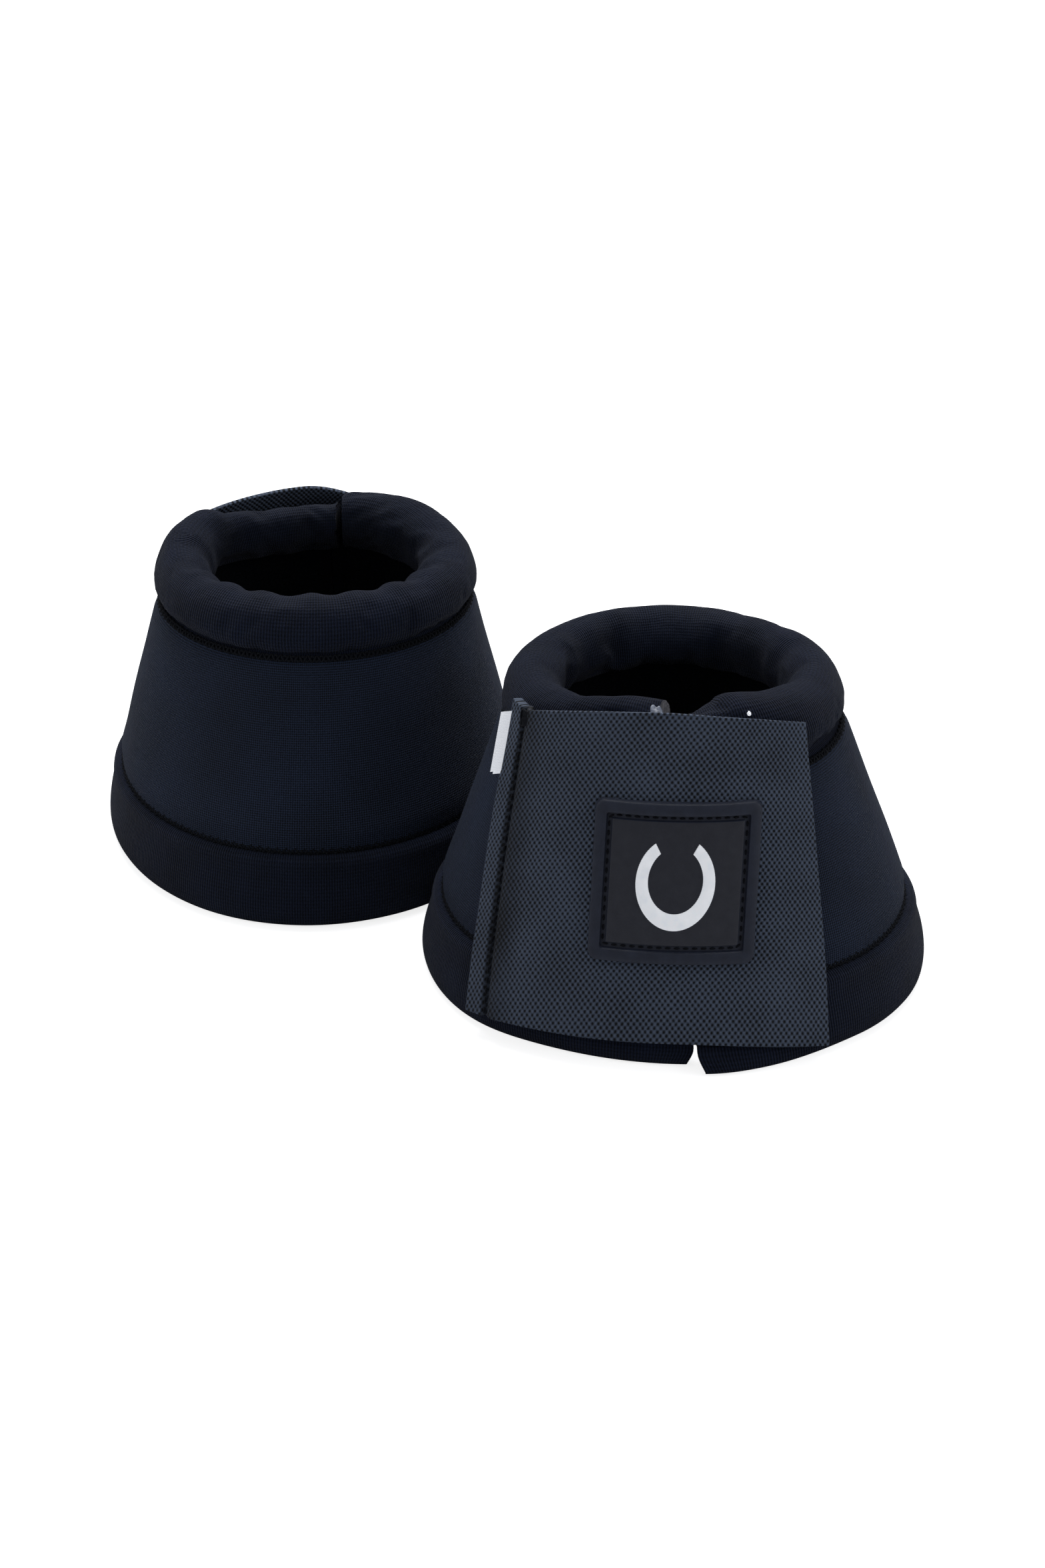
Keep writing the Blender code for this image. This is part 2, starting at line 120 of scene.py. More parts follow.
def wallPoint(depth, along):
    radius = cone["lowRadius"] - wallCos * depth - wallSin * along
    return radius, cone["lowZ"] - wallSin * depth + wallCos * along


def wallRadius(height, depth):
    along = (height - cone["lowZ"] + wallSin * depth) / wallCos
    return cone["lowRadius"] - wallCos * depth - wallSin * along


def outward(boot, angle):
    turn = math.radians(angle)
    return Vector((math.sin(turn), -boot["facing"] * math.cos(turn), 0.0))


def settleShift(boot, angle, height):
    # The skirt leans and goes oval towards the ground, and the strap pulls the front flat.
    out = outward(boot, angle)
    share = 1.0 - height / cone["settleZ"]
    away = min(abs(wrapped(angle - boot["pressAngle"])) / boot["pressWidth"], 1.0)
    shift = outward(boot, boot["pressAngle"]) * (-boot["press"] * (1.0 + math.cos(math.pi * away)) / 2)
    shift.x += share * (boot["oval"] * out.x + boot["lean"][0])
    shift.y += share * (boot["lean"][1] - boot["oval"] * out.y)
    return shift


def place(boot, angle, radius, height):
    point = boot["middle"] + outward(boot, angle) * radius + settleShift(boot, angle, height)
    point.z = height
    return point


def unplace(boot, point):
    # The way back: angle, radius and height on the round boot.
    angle = 0.0
    for step in range(6):
        flat = point - boot["middle"] - settleShift(boot, angle, point.z)
        angle = math.degrees(math.atan2(flat.x, -boot["facing"] * flat.y))
    return angle, math.hypot(flat.x, flat.y), point.z


# Making and joining pieces.
finishes = {}


def addObject(name, data):
    thing = bpy.data.objects.new(name, data)
    bpy.context.scene.collection.objects.link(thing)
    return thing


def bakedMesh(thing):
    # A new mesh of an object with its modifiers, or of a curve.
    graph = bpy.context.evaluated_depsgraph_get()
    return bpy.data.meshes.new_from_object(thing.evaluated_get(graph))


def layOut(bm, fabric, lays):
    for face in bm.faces:
        for loop in face.loops:
            loop[fabric].uv = lays[loop.vert]


def addRing(bm, corners, lays):
    # A closed line through the corners, each with its place and where it lies on the flat piece.
    ring = []
    for spot, lay in corners:
        vertex = bm.verts.new(spot)
        lays[vertex] = lay
        ring.append(vertex)
    return [bm.edges.new((vertex, ring[index - 1])) for index, vertex in enumerate(ring)]


def sliceAt(bm, point, normal, clear=False):
    everything = bm.verts[:] + bm.edges[:] + bm.faces[:]
    bmesh.ops.bisect_plane(bm, geom=everything, dist=1e-6, plane_co=point, plane_no=normal, clear_outer=clear)


def fillRim(bm):
    rim = [edge for edge in bm.edges if edge.is_boundary]
    return bmesh.ops.holes_fill(bm, edges=rim, sides=0)["faces"]


def makeObject(bm, name, finishNames, sharp=48.0):
    bmesh.ops.recalc_face_normals(bm, faces=bm.faces[:])
    mesh = bpy.data.meshes.new(name)
    bm.to_mesh(mesh)
    bm.free()
    mesh.shade_smooth()
    mesh.set_sharp_from_angle(angle=math.radians(sharp))
    thing = addObject(name, mesh)
    for finish in finishNames:
        mesh.materials.append(finishes[finish])
    return thing


def spinRing(boot, section, layFabric, shapePoint, steps=240, ends=(0.3, 0.3), split=None):
    # A closed section turned about the boot's axis from one side of the split to the other.
    split = boot["split"] if split is None else split
    start = split + ends[1]
    sweep = 360.0 - ends[0] - ends[1]
    bm = bmesh.new()
    fabric = bm.loops.layers.uv.new("fabric")
    corners = [bm.verts.new((0.0, -radius, height)) for radius, height in section]
    edges = [bm.edges.new((corner, corners[index - 1])) for index, corner in enumerate(corners)]
    bmesh.ops.contextual_create(bm, geom=edges)
    everything = bm.verts[:] + bm.edges[:] + bm.faces[:]
    turn = math.radians(sweep)
    bmesh.ops.spin(bm, geom=everything, cent=(0, 0, 0), axis=(0, 0, 1), angle=turn, steps=steps)
    plain = {}
    for vertex in bm.verts:
        around = (math.degrees(math.atan2(vertex.co.x, -vertex.co.y)) + 0.05) % 360.0 - 0.05
        plain[vertex] = (start + around, math.hypot(vertex.co.x, vertex.co.y), vertex.co.z)
    for face in bm.faces:
        for loop in face.loops:
            loop[fabric].uv = layFabric(*plain[loop.vert])
    for vertex in bm.verts:
        vertex.co = shapePoint(boot, *plain[vertex])
    return bm


def cutPlane(boot, angle):
    # The upright plane through the boot's leaning axis at an angle.
    low = place(boot, angle, 30 * mm, 0.0)
    across = place(boot, angle, 90 * mm, 0.0) - low
    up = place(boot, angle, 30 * mm, 100 * mm) - low
    return low, across.cross(up).normalized()


def partOf(boot, point, split):
    angle = unplace(boot, point)[0]
    if abs(angle) > cone["cutAngle"]:
        return "back"
    return "left" if angle < split else "right"


def splitRing(bootName, bm, piece, finishNames, nodes, ends=None, split=None):
    # The ring in three: its back stays where it is, and its two front parts ride along.
    boot = boots[bootName]
    split = boot["split"] if split is None else split
    for angle in (-cone["cutAngle"], cone["cutAngle"]):
        sliceAt(bm, *cutPlane(boot, angle))
    for part in ("back", "left", "right"):
        copy = bm.copy()
        others = [face for face in copy.faces if partOf(boot, face.calc_center_median(), split) != part]
        bmesh.ops.delete(copy, geom=others, context="FACES")
        fillRim(copy)
        if ends and part in ends:
            sliceAt(copy, *ends[part], clear=True)
            for face in fillRim(copy):
                face.material_index = 1
        thing = makeObject(copy, f"{bootName}_{piece}_{part}", finishNames)
        sides = ("left", "right") if part == "back" else (part,)
        for side in sides:
            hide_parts(*[f"{bootName}_{node}_{side}" for node in nodes])
        joinBodies(bootName, thing, part)
    bm.free()


def joinBodies(bootName, thing, part):
    boot = boots[bootName]
    if part != "back":
        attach(thing, f"{bootName}_{part}")
        return
    point, normal = cutPlane(boot, cone["backAngle"])
    if normal.x < 0:
        normal = -normal
    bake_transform(thing)


# Finishes.
def toLinear(hexColour):
    parts = [int(hexColour[index : index + 2], 16) / 255 for index in (1, 3, 5)]
    return (*[part / 12.92 if part <= 0.04045 else ((part + 0.055) / 1.055) ** 2.4 for part in parts], 1.0)


def addNode(tree, kind, settings=None, links=None):
    # What runs into the node is linked when it is a socket, and set when it is a number.
    node = tree.nodes.new(kind)
    for key, value in (settings or {}).items():
        if isinstance(key, int) or key in node.inputs:
            node.inputs[key].default_value = value
        else:
            setattr(node, key, value)
    for key, source in (links or {}).items():
        if isinstance(source, (int, float)):
            node.inputs[key].default_value = source
        else:
            tree.links.new(source, node.inputs[key])
    return node


def newFinish(name, roughness, specular, sheen=0.0):
    material = bpy.data.materials.new(name)
    material.use_nodes = True
    tree = material.node_tree
    shader = tree.nodes["Principled BSDF"]
    shader.inputs["Roughness"].default_value = roughness
    shader.inputs["Specular IOR Level"].default_value = specular
    shader.inputs["Sheen Weight"].default_value = sheen
    shader.inputs["Sheen Roughness"].default_value = 0.5
    finishes[name] = material
    return tree, shader


def fabricAxes(tree):
    # The cloth's own millimetres: across it and along it.
    lay = addNode(tree, "ShaderNodeUVMap", {"uv_map": "fabric"})
    split = addNode(tree, "ShaderNodeSeparateXYZ", None, {0: lay.outputs[0]})
    return lay.outputs[0], split.outputs[0], split.outputs[1]


def weighted(tree, *parts, base=0.0):
    # The sum of several heights, each by its own weight.
    total = base
    for source, weight in parts:
        links = {0: source, 1: weight, 2: total}
        total = addNode(tree, "ShaderNodeMath", {"operation": "MULTIPLY_ADD"}, links).outputs[0]
    return total


def wave(tree, axis, spacing):
    # Threads or ribs side by side, this many millimetres apart.
    turned = weighted(tree, (axis, 2 * math.pi / spacing))
    return addNode(tree, "ShaderNodeMath", {"operation": "COSINE"}, {0: turned}).outputs[0]


def unevenness(tree, vector, *kinds):
    # Chance in a surface, from loose fibres to slow patches: the fineness and detail of each.
    clouds = []
    for scale, detail in kinds:
        cloud = addNode(tree, "ShaderNodeTexNoise", {"Scale": scale, "Detail": detail}, {"Vector": vector})
        clouds.append(cloud.outputs["Fac"])
    return clouds


def giveFace(tree, shader, tone, colours, span, height, depth):
    # The tone picks a colour between dark and light over its span, and the height gives relief.
    ramp = addNode(tree, "ShaderNodeValToRGB", None, {0: tone})
    for index in (0, 1):
        ramp.color_ramp.elements[index].position = span[index]
        ramp.color_ramp.elements[index].color = toLinear(colours[index])
    tree.links.new(ramp.outputs[0], shader.inputs["Base Color"])
    bump = addNode(tree, "ShaderNodeBump", {"Strength": 1.0, "Distance": depth}, {"Height": height})
    tree.links.new(bump.outputs[0], shader.inputs["Normal"])


def makeRibJersey():
    # Circular-knit jersey: fine upright ribs with a broken, slightly hairy face that scatters light.
    knit = {"rib": 1.05, "course": 1.3, "depth": 0.34 * mm, "colours": ("#03060f", "#1c2439")}
    tree, shader = newFinish("ribJersey", 0.95, 0.12, 0.03)
    vector, across, along = fabricAxes(tree)
    fuzz, patches = unevenness(tree, vector, (1.7, 3.0), (0.06, 2.0))
    rib = wave(tree, weighted(tree, (across, 1.0), (fuzz, 0.35)), knit["rib"])
    course = wave(tree, along, knit["course"])
    height = weighted(tree, (rib, 0.55), (course, 0.18), (fuzz, 1.0))
    # Painted light and shade: the colour follows the rib height, lighter on the ribs and darker between them,
    # with random patches besides.
    tone = weighted(tree, (height, 0.42), (patches, 0.45))
    giveFace(tree, shader, tone, knit["colours"], (0.1, 0.9), height, knit["depth"])


def makeWovenNylon():
    # Dense diagonal nylon over foam: a fine dry twill with almost no shine. Its threads are drawn
    # coarser than such cloth has them, so that they show.
    weave = {"thread": 1.2, "slant": 1.4, "depth": 0.30 * mm, "colours": ("#02060c", "#2a3650")}
    tree, shader = newFinish("wovenNylon", 0.85, 0.14, 0.02)
    vector, across, along = fabricAxes(tree)
    fuzz, patches = unevenness(tree, vector, (1.3, 3.0), (0.03, 3.0))
    spacing = weave["thread"] * weave["slant"]
    rising = wave(tree, weighted(tree, (across, 1.0), (along, 1.0)), spacing)
    falling = wave(tree, weighted(tree, (across, 1.0), (along, -1.0)), spacing)
    height = weighted(tree, (rising, falling), (fuzz, 1.0))
    # Painted light and shade: the colour follows the twill height, lighter on the threads and darker between
    # them, with random patches besides.
    tone = weighted(tree, (height, 0.42), (patches, 0.45))
    giveFace(tree, shader, tone, weave["colours"], (0.05, 0.95), height, weave["depth"])


def makeWebbing():
    # Coarse basket-woven webbing: staggered beads of yarn, smooth and flat beside the sewn seam.
    weave = {"bead": 2.0, "row": 2.4, "crown": 1.6, "depth": 0.9 * mm, "colours": ("#010308", "#4f5a6e")}
    tree, shader = newFinish("basketWebbing", 0.75, 0.2, 0.02)
    vector, across, along = fabricAxes(tree)
    wander, yarn, wear = unevenness(tree, vector, (0.22, 1.0), (2.4, 3.0), (0.05, 2.0))
    columns = wave(tree, weighted(tree, (across, 1.0), (wander, 0.8)), weave["bead"])
    beads = weighted(tree, (columns, wave(tree, along, weave["row"])))
    # The beads are full and round, with narrow hollows between them.
    hollow = weighted(tree, (beads, -0.5), base=0.5)
    hollow = addNode(tree, "ShaderNodeMath", {"operation": "POWER"}, {0: hollow, 1: weave["crown"]})
    beads = weighted(tree, (hollow.outputs[0], -1.0), base=1.0)
    # Beside the seam the yarns are drawn tight, so the beads fade out there.
    right = addNode(tree, "ShaderNodeMapRange", {1: 2.0, 2: 13.0, 3: 0.4, 4: 1.0}, {0: across}).outputs[0]
    left = addNode(tree, "ShaderNodeMapRange", {1: -1.0, 2: -2.5, 3: 0.0, 4: 0.9}, {0: across}).outputs[0]
    loose = addNode(tree, "ShaderNodeMath", {"operation": "MAXIMUM"}, {0: right, 1: left}).outputs[0]
    height = weighted(tree, (beads, loose), (yarn, 0.45))
    # Painted light and shade: the colour follows the bead height, lighter on the crowns and darker in the
    # hollows and beside the seam; the wear adds slow random patches.
    tone = weighted(tree, (height, 0.52), (wear, 0.25))
    giveFace(tree, shader, tone, weave["colours"], (0.33, 0.74), height, weave["depth"])


def makePlainWeaves():
    # Lining jersey, cut foam, foam rubber, thread and the two closure tapes. For each: dark and light
    # colour, fineness of the grain, roughness, shine, and depth in millimetres.
    kinds = {
        "liningJersey": ("#06070b", "#15181f", 0.9, 0.9, 0.08, 0.10),
        "cutFoam": ("#4a4a50", "#8f8f96", 1.6, 0.95, 0.10, 0.60),
        "foamRubber": ("#1d2230", "#3b4254", 1.1, 0.90, 0.15, 0.25),
        "stitchThread": ("#020306", "#10141d", 3.0, 0.80, 0.15, 0.15),
        "loopTape": ("#0a0b0e", "#1e2127", 1.6, 1.00, 0.05, 0.50),
        "hookTape": ("#08090b", "#1b1c20", 1.2, 0.55, 0.35, 0.60),
    }
    for name, (dark, light, scale, roughness, specular, depth) in kinds.items():
        tree, shader = newFinish(name, roughness, specular)
        vector, across, along = fabricAxes(tree)
        height = unevenness(tree, vector, (scale, 4.0))[0]
        if name == "hookTape":
            height = weighted(tree, (wave(tree, across, 1.6), wave(tree, along, 1.6)), (height, 1.0))
        giveFace(tree, shader, height, (dark, light), (0.3, 0.7), height, depth * mm)


def paintedGlow(shader, strength):
    # Painted glow: the white rubber and the satin give off a little light of their own, so they look cleaner
    # than anything else near them.
    shader.inputs["Emission Color"].default_value = toLinear("#e9edf5")
    shader.inputs["Emission Strength"].default_value = strength


def makeRubbers():
    # Moulded soft rubber: a satin face with faint flow marks and fine pores.
    kinds = {
        "mouldedRubber": ("#1a1f2d", "#222838", 0.5, 0.3),
        "mouldedPlate": ("#24262f", "#2b2d36", 0.42, 0.3),
        "whiteRubber": ("#d3d7dd", "#eef0f3", 0.45, 0.4),
    }
    for name, (dark, light, roughness, specular) in kinds.items():
        tree, shader = newFinish(name, roughness, specular)
        marks, pores = unevenness(tree, fabricAxes(tree)[0], (0.25, 5.0), (3.0, 2.0))
        height = weighted(tree, (pores, 1.0), (marks, 1.0))
        giveFace(tree, shader, marks, (dark, light), (0.25, 0.75), height, 0.05 * mm)
        if name == "whiteRubber":
            # The white rubber glows a little: painted light.
            paintedGlow(shader, 0.28)


def makeSatin():
    # Woven satin label tape: bright floats across it give a soft sheen.
    tree, shader = newFinish("satinLabel", 0.5, 0.4, 0.1)
    vector, across, along = fabricAxes(tree)
    hairs = unevenness(tree, vector, (1.5, 2.0))[0]
    floats = weighted(tree, (wave(tree, along, 0.5), 1.0), (hairs, 1.0))
    giveFace(tree, shader, floats, ("#cfd2da", "#f1f2f6"), (0.0, 1.0), floats, 0.05 * mm)
    # The satin glows a little: painted light.
    paintedGlow(shader, 0.45)


def makeDriedGlue():
    # Dried glue: a thin cloudy blue-grey film with a wet shine.
    tree, shader = newFinish("driedGlue", 0.35, 0.5)
    spot = addNode(tree, "ShaderNodeTexCoord").outputs["Object"]
    cloud = unevenness(tree, spot, (700.0, 3.0))[0]
    giveFace(tree, shader, cloud, ("#2e3647", "#6c7588"), (0.3, 0.7), cloud, 0.2 * mm)


makeRibJersey()
makeWovenNylon()
makeWebbing()
makePlainWeaves()
makeRubbers()
makeSatin()
makeDriedGlue()
print("finishes made:", len(finishes))


# Shell: outer cover, foam rubber core and lining.
shell = {
    "cover": (0.0, 1.0 * mm, "wovenNylon", "woven_nylon"),
    "core": (1.3 * mm, 3.5 * mm, "foamRubber", "neoprene"),
    "lining": (5.1 * mm, 0.8 * mm, "liningJersey", "lining_jersey"),
    "sink": 1.9 * mm,
    "sinkReach": 4.5 * mm,
    "wave": 0.5 * mm,
}


def slowWave(boot, angle, height, tall, fineness, shift):
    # A soft unevenness that closes up on itself round the boot.
    turn = math.radians(angle)
    spot = Vector((math.cos(turn), math.sin(turn), height / tall)) * fineness
    return noise.noise(spot + shift * boot["facing"])


def edgeSink(edge):
    return shell["sink"] * (1.0 - smooth(0.0, shell["sinkReach"], edge))


def softWall(boot, angle, radius, height):
    # The sewn edges sink in, and the panel between them has slow soft waves.
    edge = min(height - cone["lowZ"], cone["topZ"] - height)
    swell = slowWave(boot, angle, height, 40 * mm, 1.6, Vector((7.0, 0.0, 0.0)))
    swell *= shell["wave"] * smooth(0.0, 12 * mm, edge)
    return place(boot, angle, radius - edgeSink(edge) + swell, height)


def layWall(angle, radius, height):
    return math.radians(angle) * 70.0, (height - cone["lowZ"]) / wallCos / mm


def wallLayer(depth, thickness, low, high, count):
    points = [wallPoint(depth, low + (high - low) * index / count) for index in range(count + 1)]
    inside = depth + thickness
    points += [wallPoint(inside, high + (low - high) * index / count) for index in range(count + 1)]
    return points


def makeShell(bootName):
    boot = boots[bootName]
    for layer in ("cover", "core", "lining"):
        depth, thickness, finish, slot = shell[layer]
        top = wallRun if layer == "cover" else wallRun - 0.6 * mm
        section = wallLayer(depth, thickness, -0.7 * mm, top, 22)
        bm = spinRing(boot, section, layWall, softWall)
        splitRing(bootName, bm, layer + "_layer", [finish, finish], [layer])


# Hem: the padded jersey band on the ground.
hem = {
    "thickness": 8.5 * mm,
    "kick": {"near": (2.5 * mm, 9.0 * mm), "far": (0.0, 0.0)},
    "notch": 1.6,
    "wave": 0.6 * mm,
}


def hemSection():
    rim = cone["rimRadius"]
    inner = rim - hem["thickness"]
    outerTop = wallPoint(2.8 * mm, -0.4 * mm)
    innerTop = wallPoint(5.9 * mm, -0.4 * mm)
    outline = [
        (outerTop[0], outerTop[1]),
        (outerTop[0] + 2.6 * mm, outerTop[1] - 0.3 * mm),
        (cone["lowRadius"] + 2.3 * mm, outerTop[1] - 2.6 * mm),
        (cone["lowRadius"] + 3.0 * mm, 19.0 * mm),
        (rim - 0.6 * mm, 12.0 * mm),
        (rim + 0.1 * mm, 7.0 * mm),
        (rim - 0.2 * mm, 3.4 * mm),
        (rim - 1.2 * mm, 1.1 * mm),
        (rim - 3.2 * mm, 0.0),
        (inner + 2.8 * mm, 0.0),
        (inner + 0.9 * mm, 0.9 * mm),
        (inner, 2.8 * mm),
        (inner - 0.8 * mm, 10.0 * mm),
        (innerTop[0] - 0.6 * mm, innerTop[1] - 5.0 * mm),
        innerTop,
    ]
    return smoothLoop(outline, 4)


def smoothLoop(points, steps):
    # A closed smooth line through the points.
    result = []
    count = len(points)
    for index in range(count):
        corners = [Vector((*points[(index + step) % count], 0.0)) for step in (-1, 0, 1, 2)]
        before, first, second, after = corners
        for step in range(steps):
            t = step / steps
            point = (
                first * 2
                + (second - before) * t
                + (before * 2 - first * 5 + second * 4 - after) * t * t
                + (first * 3 - before - second * 3 + after) * t ** 3
            ) / 2
            result.append((point.x, point.y))
    return result


def softHem(boot, angle, radius, height):
    front = wrapped(angle - boot["split"])
    low = 1.0 - smooth(0.0, 12 * mm, height)
    # The band's two ends stand apart towards the ground and kick outwards.
    side = 0 if front < 0 else 1
    kick = hem["kick"][boot["name"]][side] * low * (1.0 - smooth(0.0, 42.0, abs(front)))
    apart = 1.0 - smooth(0.0, 7 * mm, height)
    spread = hem["notch"] * apart * (1.0 - smooth(0.0, 14.0, abs(front)))
    angle = angle + (spread if front > 0 else -spread)
    swell = slowWave(boot, angle, height, 30 * mm, 2.2, Vector((0.0, 9.0, 0.0))) * hem["wave"]
    return place(boot, angle, radius + kick + swell, height)


def layHem(angle, radius, height):
    return math.radians(angle) * 86.0, height / mm


def makeHem(bootName):
    boot = boots[bootName]
    bm = spinRing(boot, hemSection(), layHem, softHem, 288)
    splitRing(bootName, bm, "hem_band", ["ribJersey", "cutFoam"], ["hem"])


# Collar: the padded roll round the top.
collar = {
    "depth": 8.8 * mm,
    "rise": 11.6 * mm,
    "halfWidth": 9.4 * mm,
    "halfHeight": 11.2 * mm,
    "voxel": 2.2 * mm,
    "cloth": {
        "quality": 6,
        "mass": 0.2,
        "tension_stiffness": 12.0,
        "compression_stiffness": 12.0,
        "shear_stiffness": 6.0,
        "bending_stiffness": 0.4,
        "use_pressure": True,
        "uniform_pressure_force": 4.0,
        "shrink_min": -0.04,
        "vertex_group_mass": "sewn",
    },
    "cap": 2.2 * mm,
    "frames": 20,
    "puckers": 18,
    # How deep the gathers are beside the split and behind, in millimetres.
    "gather": {"near": (0.4, 0.9), "far": (0.4, 1.8)},
    "split": {"near": 2.5, "far": 7.8},
    # Angle from the front: width, height, how far in and how far up, in millimetres.
    "near": (
        (-180.0, 1.0, 1.0, 0.0, 0.0),
        (-80.0, 1.0, 1.0, 0.0, 0.0),
        (-50.0, 0.95, 0.95, 1.5, 1.5),
        (-25.0, 0.85, 0.92, 4.0, 3.2),
        (0.0, 0.80, 0.85, 4.5, 3.0),
        (4.0, 0.60, 0.62, 3.0, 0.0),
        (12.0, 0.85, 0.85, 4.0, 2.2),
        (26.0, 1.10, 1.10, 4.0, 3.4),
        (46.0, 1.12, 1.10, 1.5, 2.0),
        (75.0, 1.02, 1.0, 0.0, 0.3),
        (180.0, 1.0, 1.0, 0.0, 0.0),
    ),
    "far": (
        (-180.0, 1.0, 1.0, 0.0, 0.0),
        (-105.0, 1.0, 1.0, 0.0, 0.3),
        (-72.0, 1.05, 1.05, 0.0, 3.4),
        (-56.0, 1.04, 1.05, 0.2, 3.8),
        (-52.5, 0.78, 0.93, 3.4, 2.2),
        (-20.0, 0.78, 0.90, 3.5, 0.6),
        (7.0, 0.78, 0.90, 2.5, -0.6),
        (8.5, 1.05, 1.05, 0.0, 1.8),
        (40.0, 1.12, 1.10, 0.0, 2.0),
        (75.0, 1.05, 1.0, 0.0, 0.0),
        (180.0, 1.0, 1.0, 0.0, 0.0),
    ),
}


def between(keys, angle):
    for low, high in zip(keys, keys[1:]):
        if low[0] <= angle <= high[0]:
            share = smooth(low[0], high[0], angle)
            return [a + (b - a) * share for a, b in zip(low[1:], high[1:])]
    return list(keys[0][1:])


collarCentre = wallPoint(collar["depth"], wallRun + collar["rise"])


def rollTurn(radius, height):
    # The angle round the roll's section: 0 outwards, 90 up along the wall's line, 180 inwards.
    dr = radius - collarCentre[0]
    dz = height - collarCentre[1]
    out = dr * wallCos + dz * wallSin
    up = -dr * wallSin + dz * wallCos
    return math.degrees(math.atan2(up, out)), out, up


def softCollar(boot, angle, radius, height):
    turn, out, up = rollTurn(radius, height)
    wide, tall, inward, lift = between(collar[boot["name"]], wrapped(angle))
    # Gathered on its inner side where it is sewn down.
    inside = smooth(45.0, 120.0, turn % 360.0) * (1.0 - smooth(215.0, 260.0, turn % 360.0))
    strong = 0.6 + 0.5 * noise.noise(Vector((angle / 25.0, boot["facing"] * 3.0, 0.0)))
    drift = 60 * noise.noise(Vector((angle / 17.0, 1.0, 5.0)))
    gather = math.cos(math.radians(angle * collar["puckers"] + drift))
    behind = smooth(60.0, 110.0, abs(wrapped(angle)))
    quiet, full = collar["gather"][boot["name"]]
    pull = (quiet + (full - quiet) * behind) * mm * strong * inside * gather
    out = out * wide + pull * math.cos(math.radians(turn))
    up = up * tall + pull * math.sin(math.radians(turn))
    newRadius = collarCentre[0] + out * wallCos - up * wallSin - inward * mm
    newHeight = collarCentre[1] + out * wallSin + up * wallCos + lift * mm
    return place(boot, angle, newRadius, newHeight)


def collarSection():
    points = []
    count = 40
    for index in range(count):
        turn = 2 * math.pi * index / count
        out = collar["halfWidth"] * math.cos(turn)
        up = collar["halfHeight"] * math.sin(turn)
        # Fuller below on its outside, where it hangs over the tape.
        if out > 0 and up < 0:
            out *= 1.0 + 0.2 * math.sin(-2 * turn)
        radius = collarCentre[0] + out * wallCos - up * wallSin
        height = collarCentre[1] + out * wallSin + up * wallCos
        points.append((radius, height))
    return points


def inflate(boot, bm, name):
    # Cloth under pressure, sewn down along the roll's lower side.
    mesh = bpy.data.meshes.new(name)
    bmesh.ops.recalc_face_normals(bm, faces=bm.faces[:])
    bm.to_mesh(mesh)
    bm.free()
    pad = addObject(name, mesh)
    remesh = pad.modifiers.new("voxels", "REMESH")
    remesh.mode = "VOXEL"
    remesh.voxel_size = collar["voxel"]
    bpy.context.view_layer.update()
    even = bakedMesh(pad)
    pad.modifiers.clear()
    pad.data = even
    rest = [vertex.co.copy() for vertex in even.vertices]
    sewn = pad.vertex_groups.new(name="sewn")
    for vertex in even.vertices:
        angle, radius, height = unplace(boot, vertex.co)
        turn = rollTurn(radius, height)[0]
        away = abs(wrapped(turn + 100.0))
        nearEnd = abs(wrapped(angle - collar["split"][boot["name"]])) < 4.0
        sewn.add([vertex.index], 1.0 if away < 28.0 or nearEnd else 0.0, "REPLACE")
    cloth = pad.modifiers.new("swell", "CLOTH")
    for key, value in collar["cloth"].items():
        setattr(cloth.settings, key, value)
    cloth.settings.effector_weights.gravity = 0.0
    cloth.point_cache.frame_start = 1
    cloth.point_cache.frame_end = collar["frames"]
    for step in range(1, collar["frames"] + 1):
        bpy.context.scene.frame_set(step)
    graph = bpy.context.evaluated_depsgraph_get()
    swollen = pad.evaluated_get(graph).to_mesh()
    for index, vertex in enumerate(swollen.vertices):
        move = vertex.co - rest[index]
        if move.length > collar["cap"]:
            move = move.normalized() * collar["cap"]
        rest[index] = rest[index] + move
    pad.evaluated_get(graph).to_mesh_clear()
    pad.modifiers.clear()
    bpy.context.scene.frame_set(1)
    for vertex, spot in zip(even.vertices, rest):
        vertex.co = spot
    finer = pad.modifiers.new("finer", "SUBSURF")
    finer.levels = 1
    finer.render_levels = 1
    final = bakedMesh(pad)
    result = bmesh.new()
    result.from_mesh(final)
    bpy.data.objects.remove(pad)
    bpy.data.meshes.remove(final)
    # Lay the knit on the swollen roll.
    for layer in list(result.loops.layers.uv.values()):
        result.loops.layers.uv.remove(layer)
    fabric = result.loops.layers.uv.new("fabric")
    lays = {}
    for vertex in result.verts:
        angle, radius, height = unplace(boot, vertex.co)
        lays[vertex] = (wrapped(angle - 8.0), rollTurn(radius, height)[0])
    for face in result.faces:
        first = lays[face.loops[0].vert]
        for loop in face.loops:
            angle, turn = lays[loop.vert]
            angle = first[0] + wrapped(angle - first[0])
            turn = first[1] + wrapped(turn - first[1])
            loop[fabric].uv = (math.radians(angle) * 56.0, math.radians(turn) * 11.0)
    return result


collarEnds = {
    "near": {
        "left": (Vector((57.6, -87.0, 110.0)) * mm, Vector((0.90, -0.43, 0.0))),
        "right": (Vector((62.7, -90.0, 110.0)) * mm, Vector((-0.95, -0.25, 0.0))),
    },
    "far": {
        "left": (Vector((-62.4, 80.0, 110.0)) * mm, Vector((1.0, 0.0, 0.0))),
        "right": (Vector((-61.6, 80.0, 110.0)) * mm, Vector((-1.0, 0.0, 0.0))),
    },
}


def makeCollar(bootName):
    boot = boots[bootName]
    split = collar["split"][bootName]
    bm = spinRing(boot, collarSection(), layWall, softCollar, 180, ends=(0.9, 0.9), split=split)
    bm = inflate(boot, bm, bootName + "_collar_pad")
    nodes = ["collar_sleeve", "collar_foam"]
    ends = collarEnds[bootName]
    finishNames = ["ribJersey", "cutFoam"]
    splitRing(bootName, bm, "collar_roll", finishNames, nodes, ends, split)


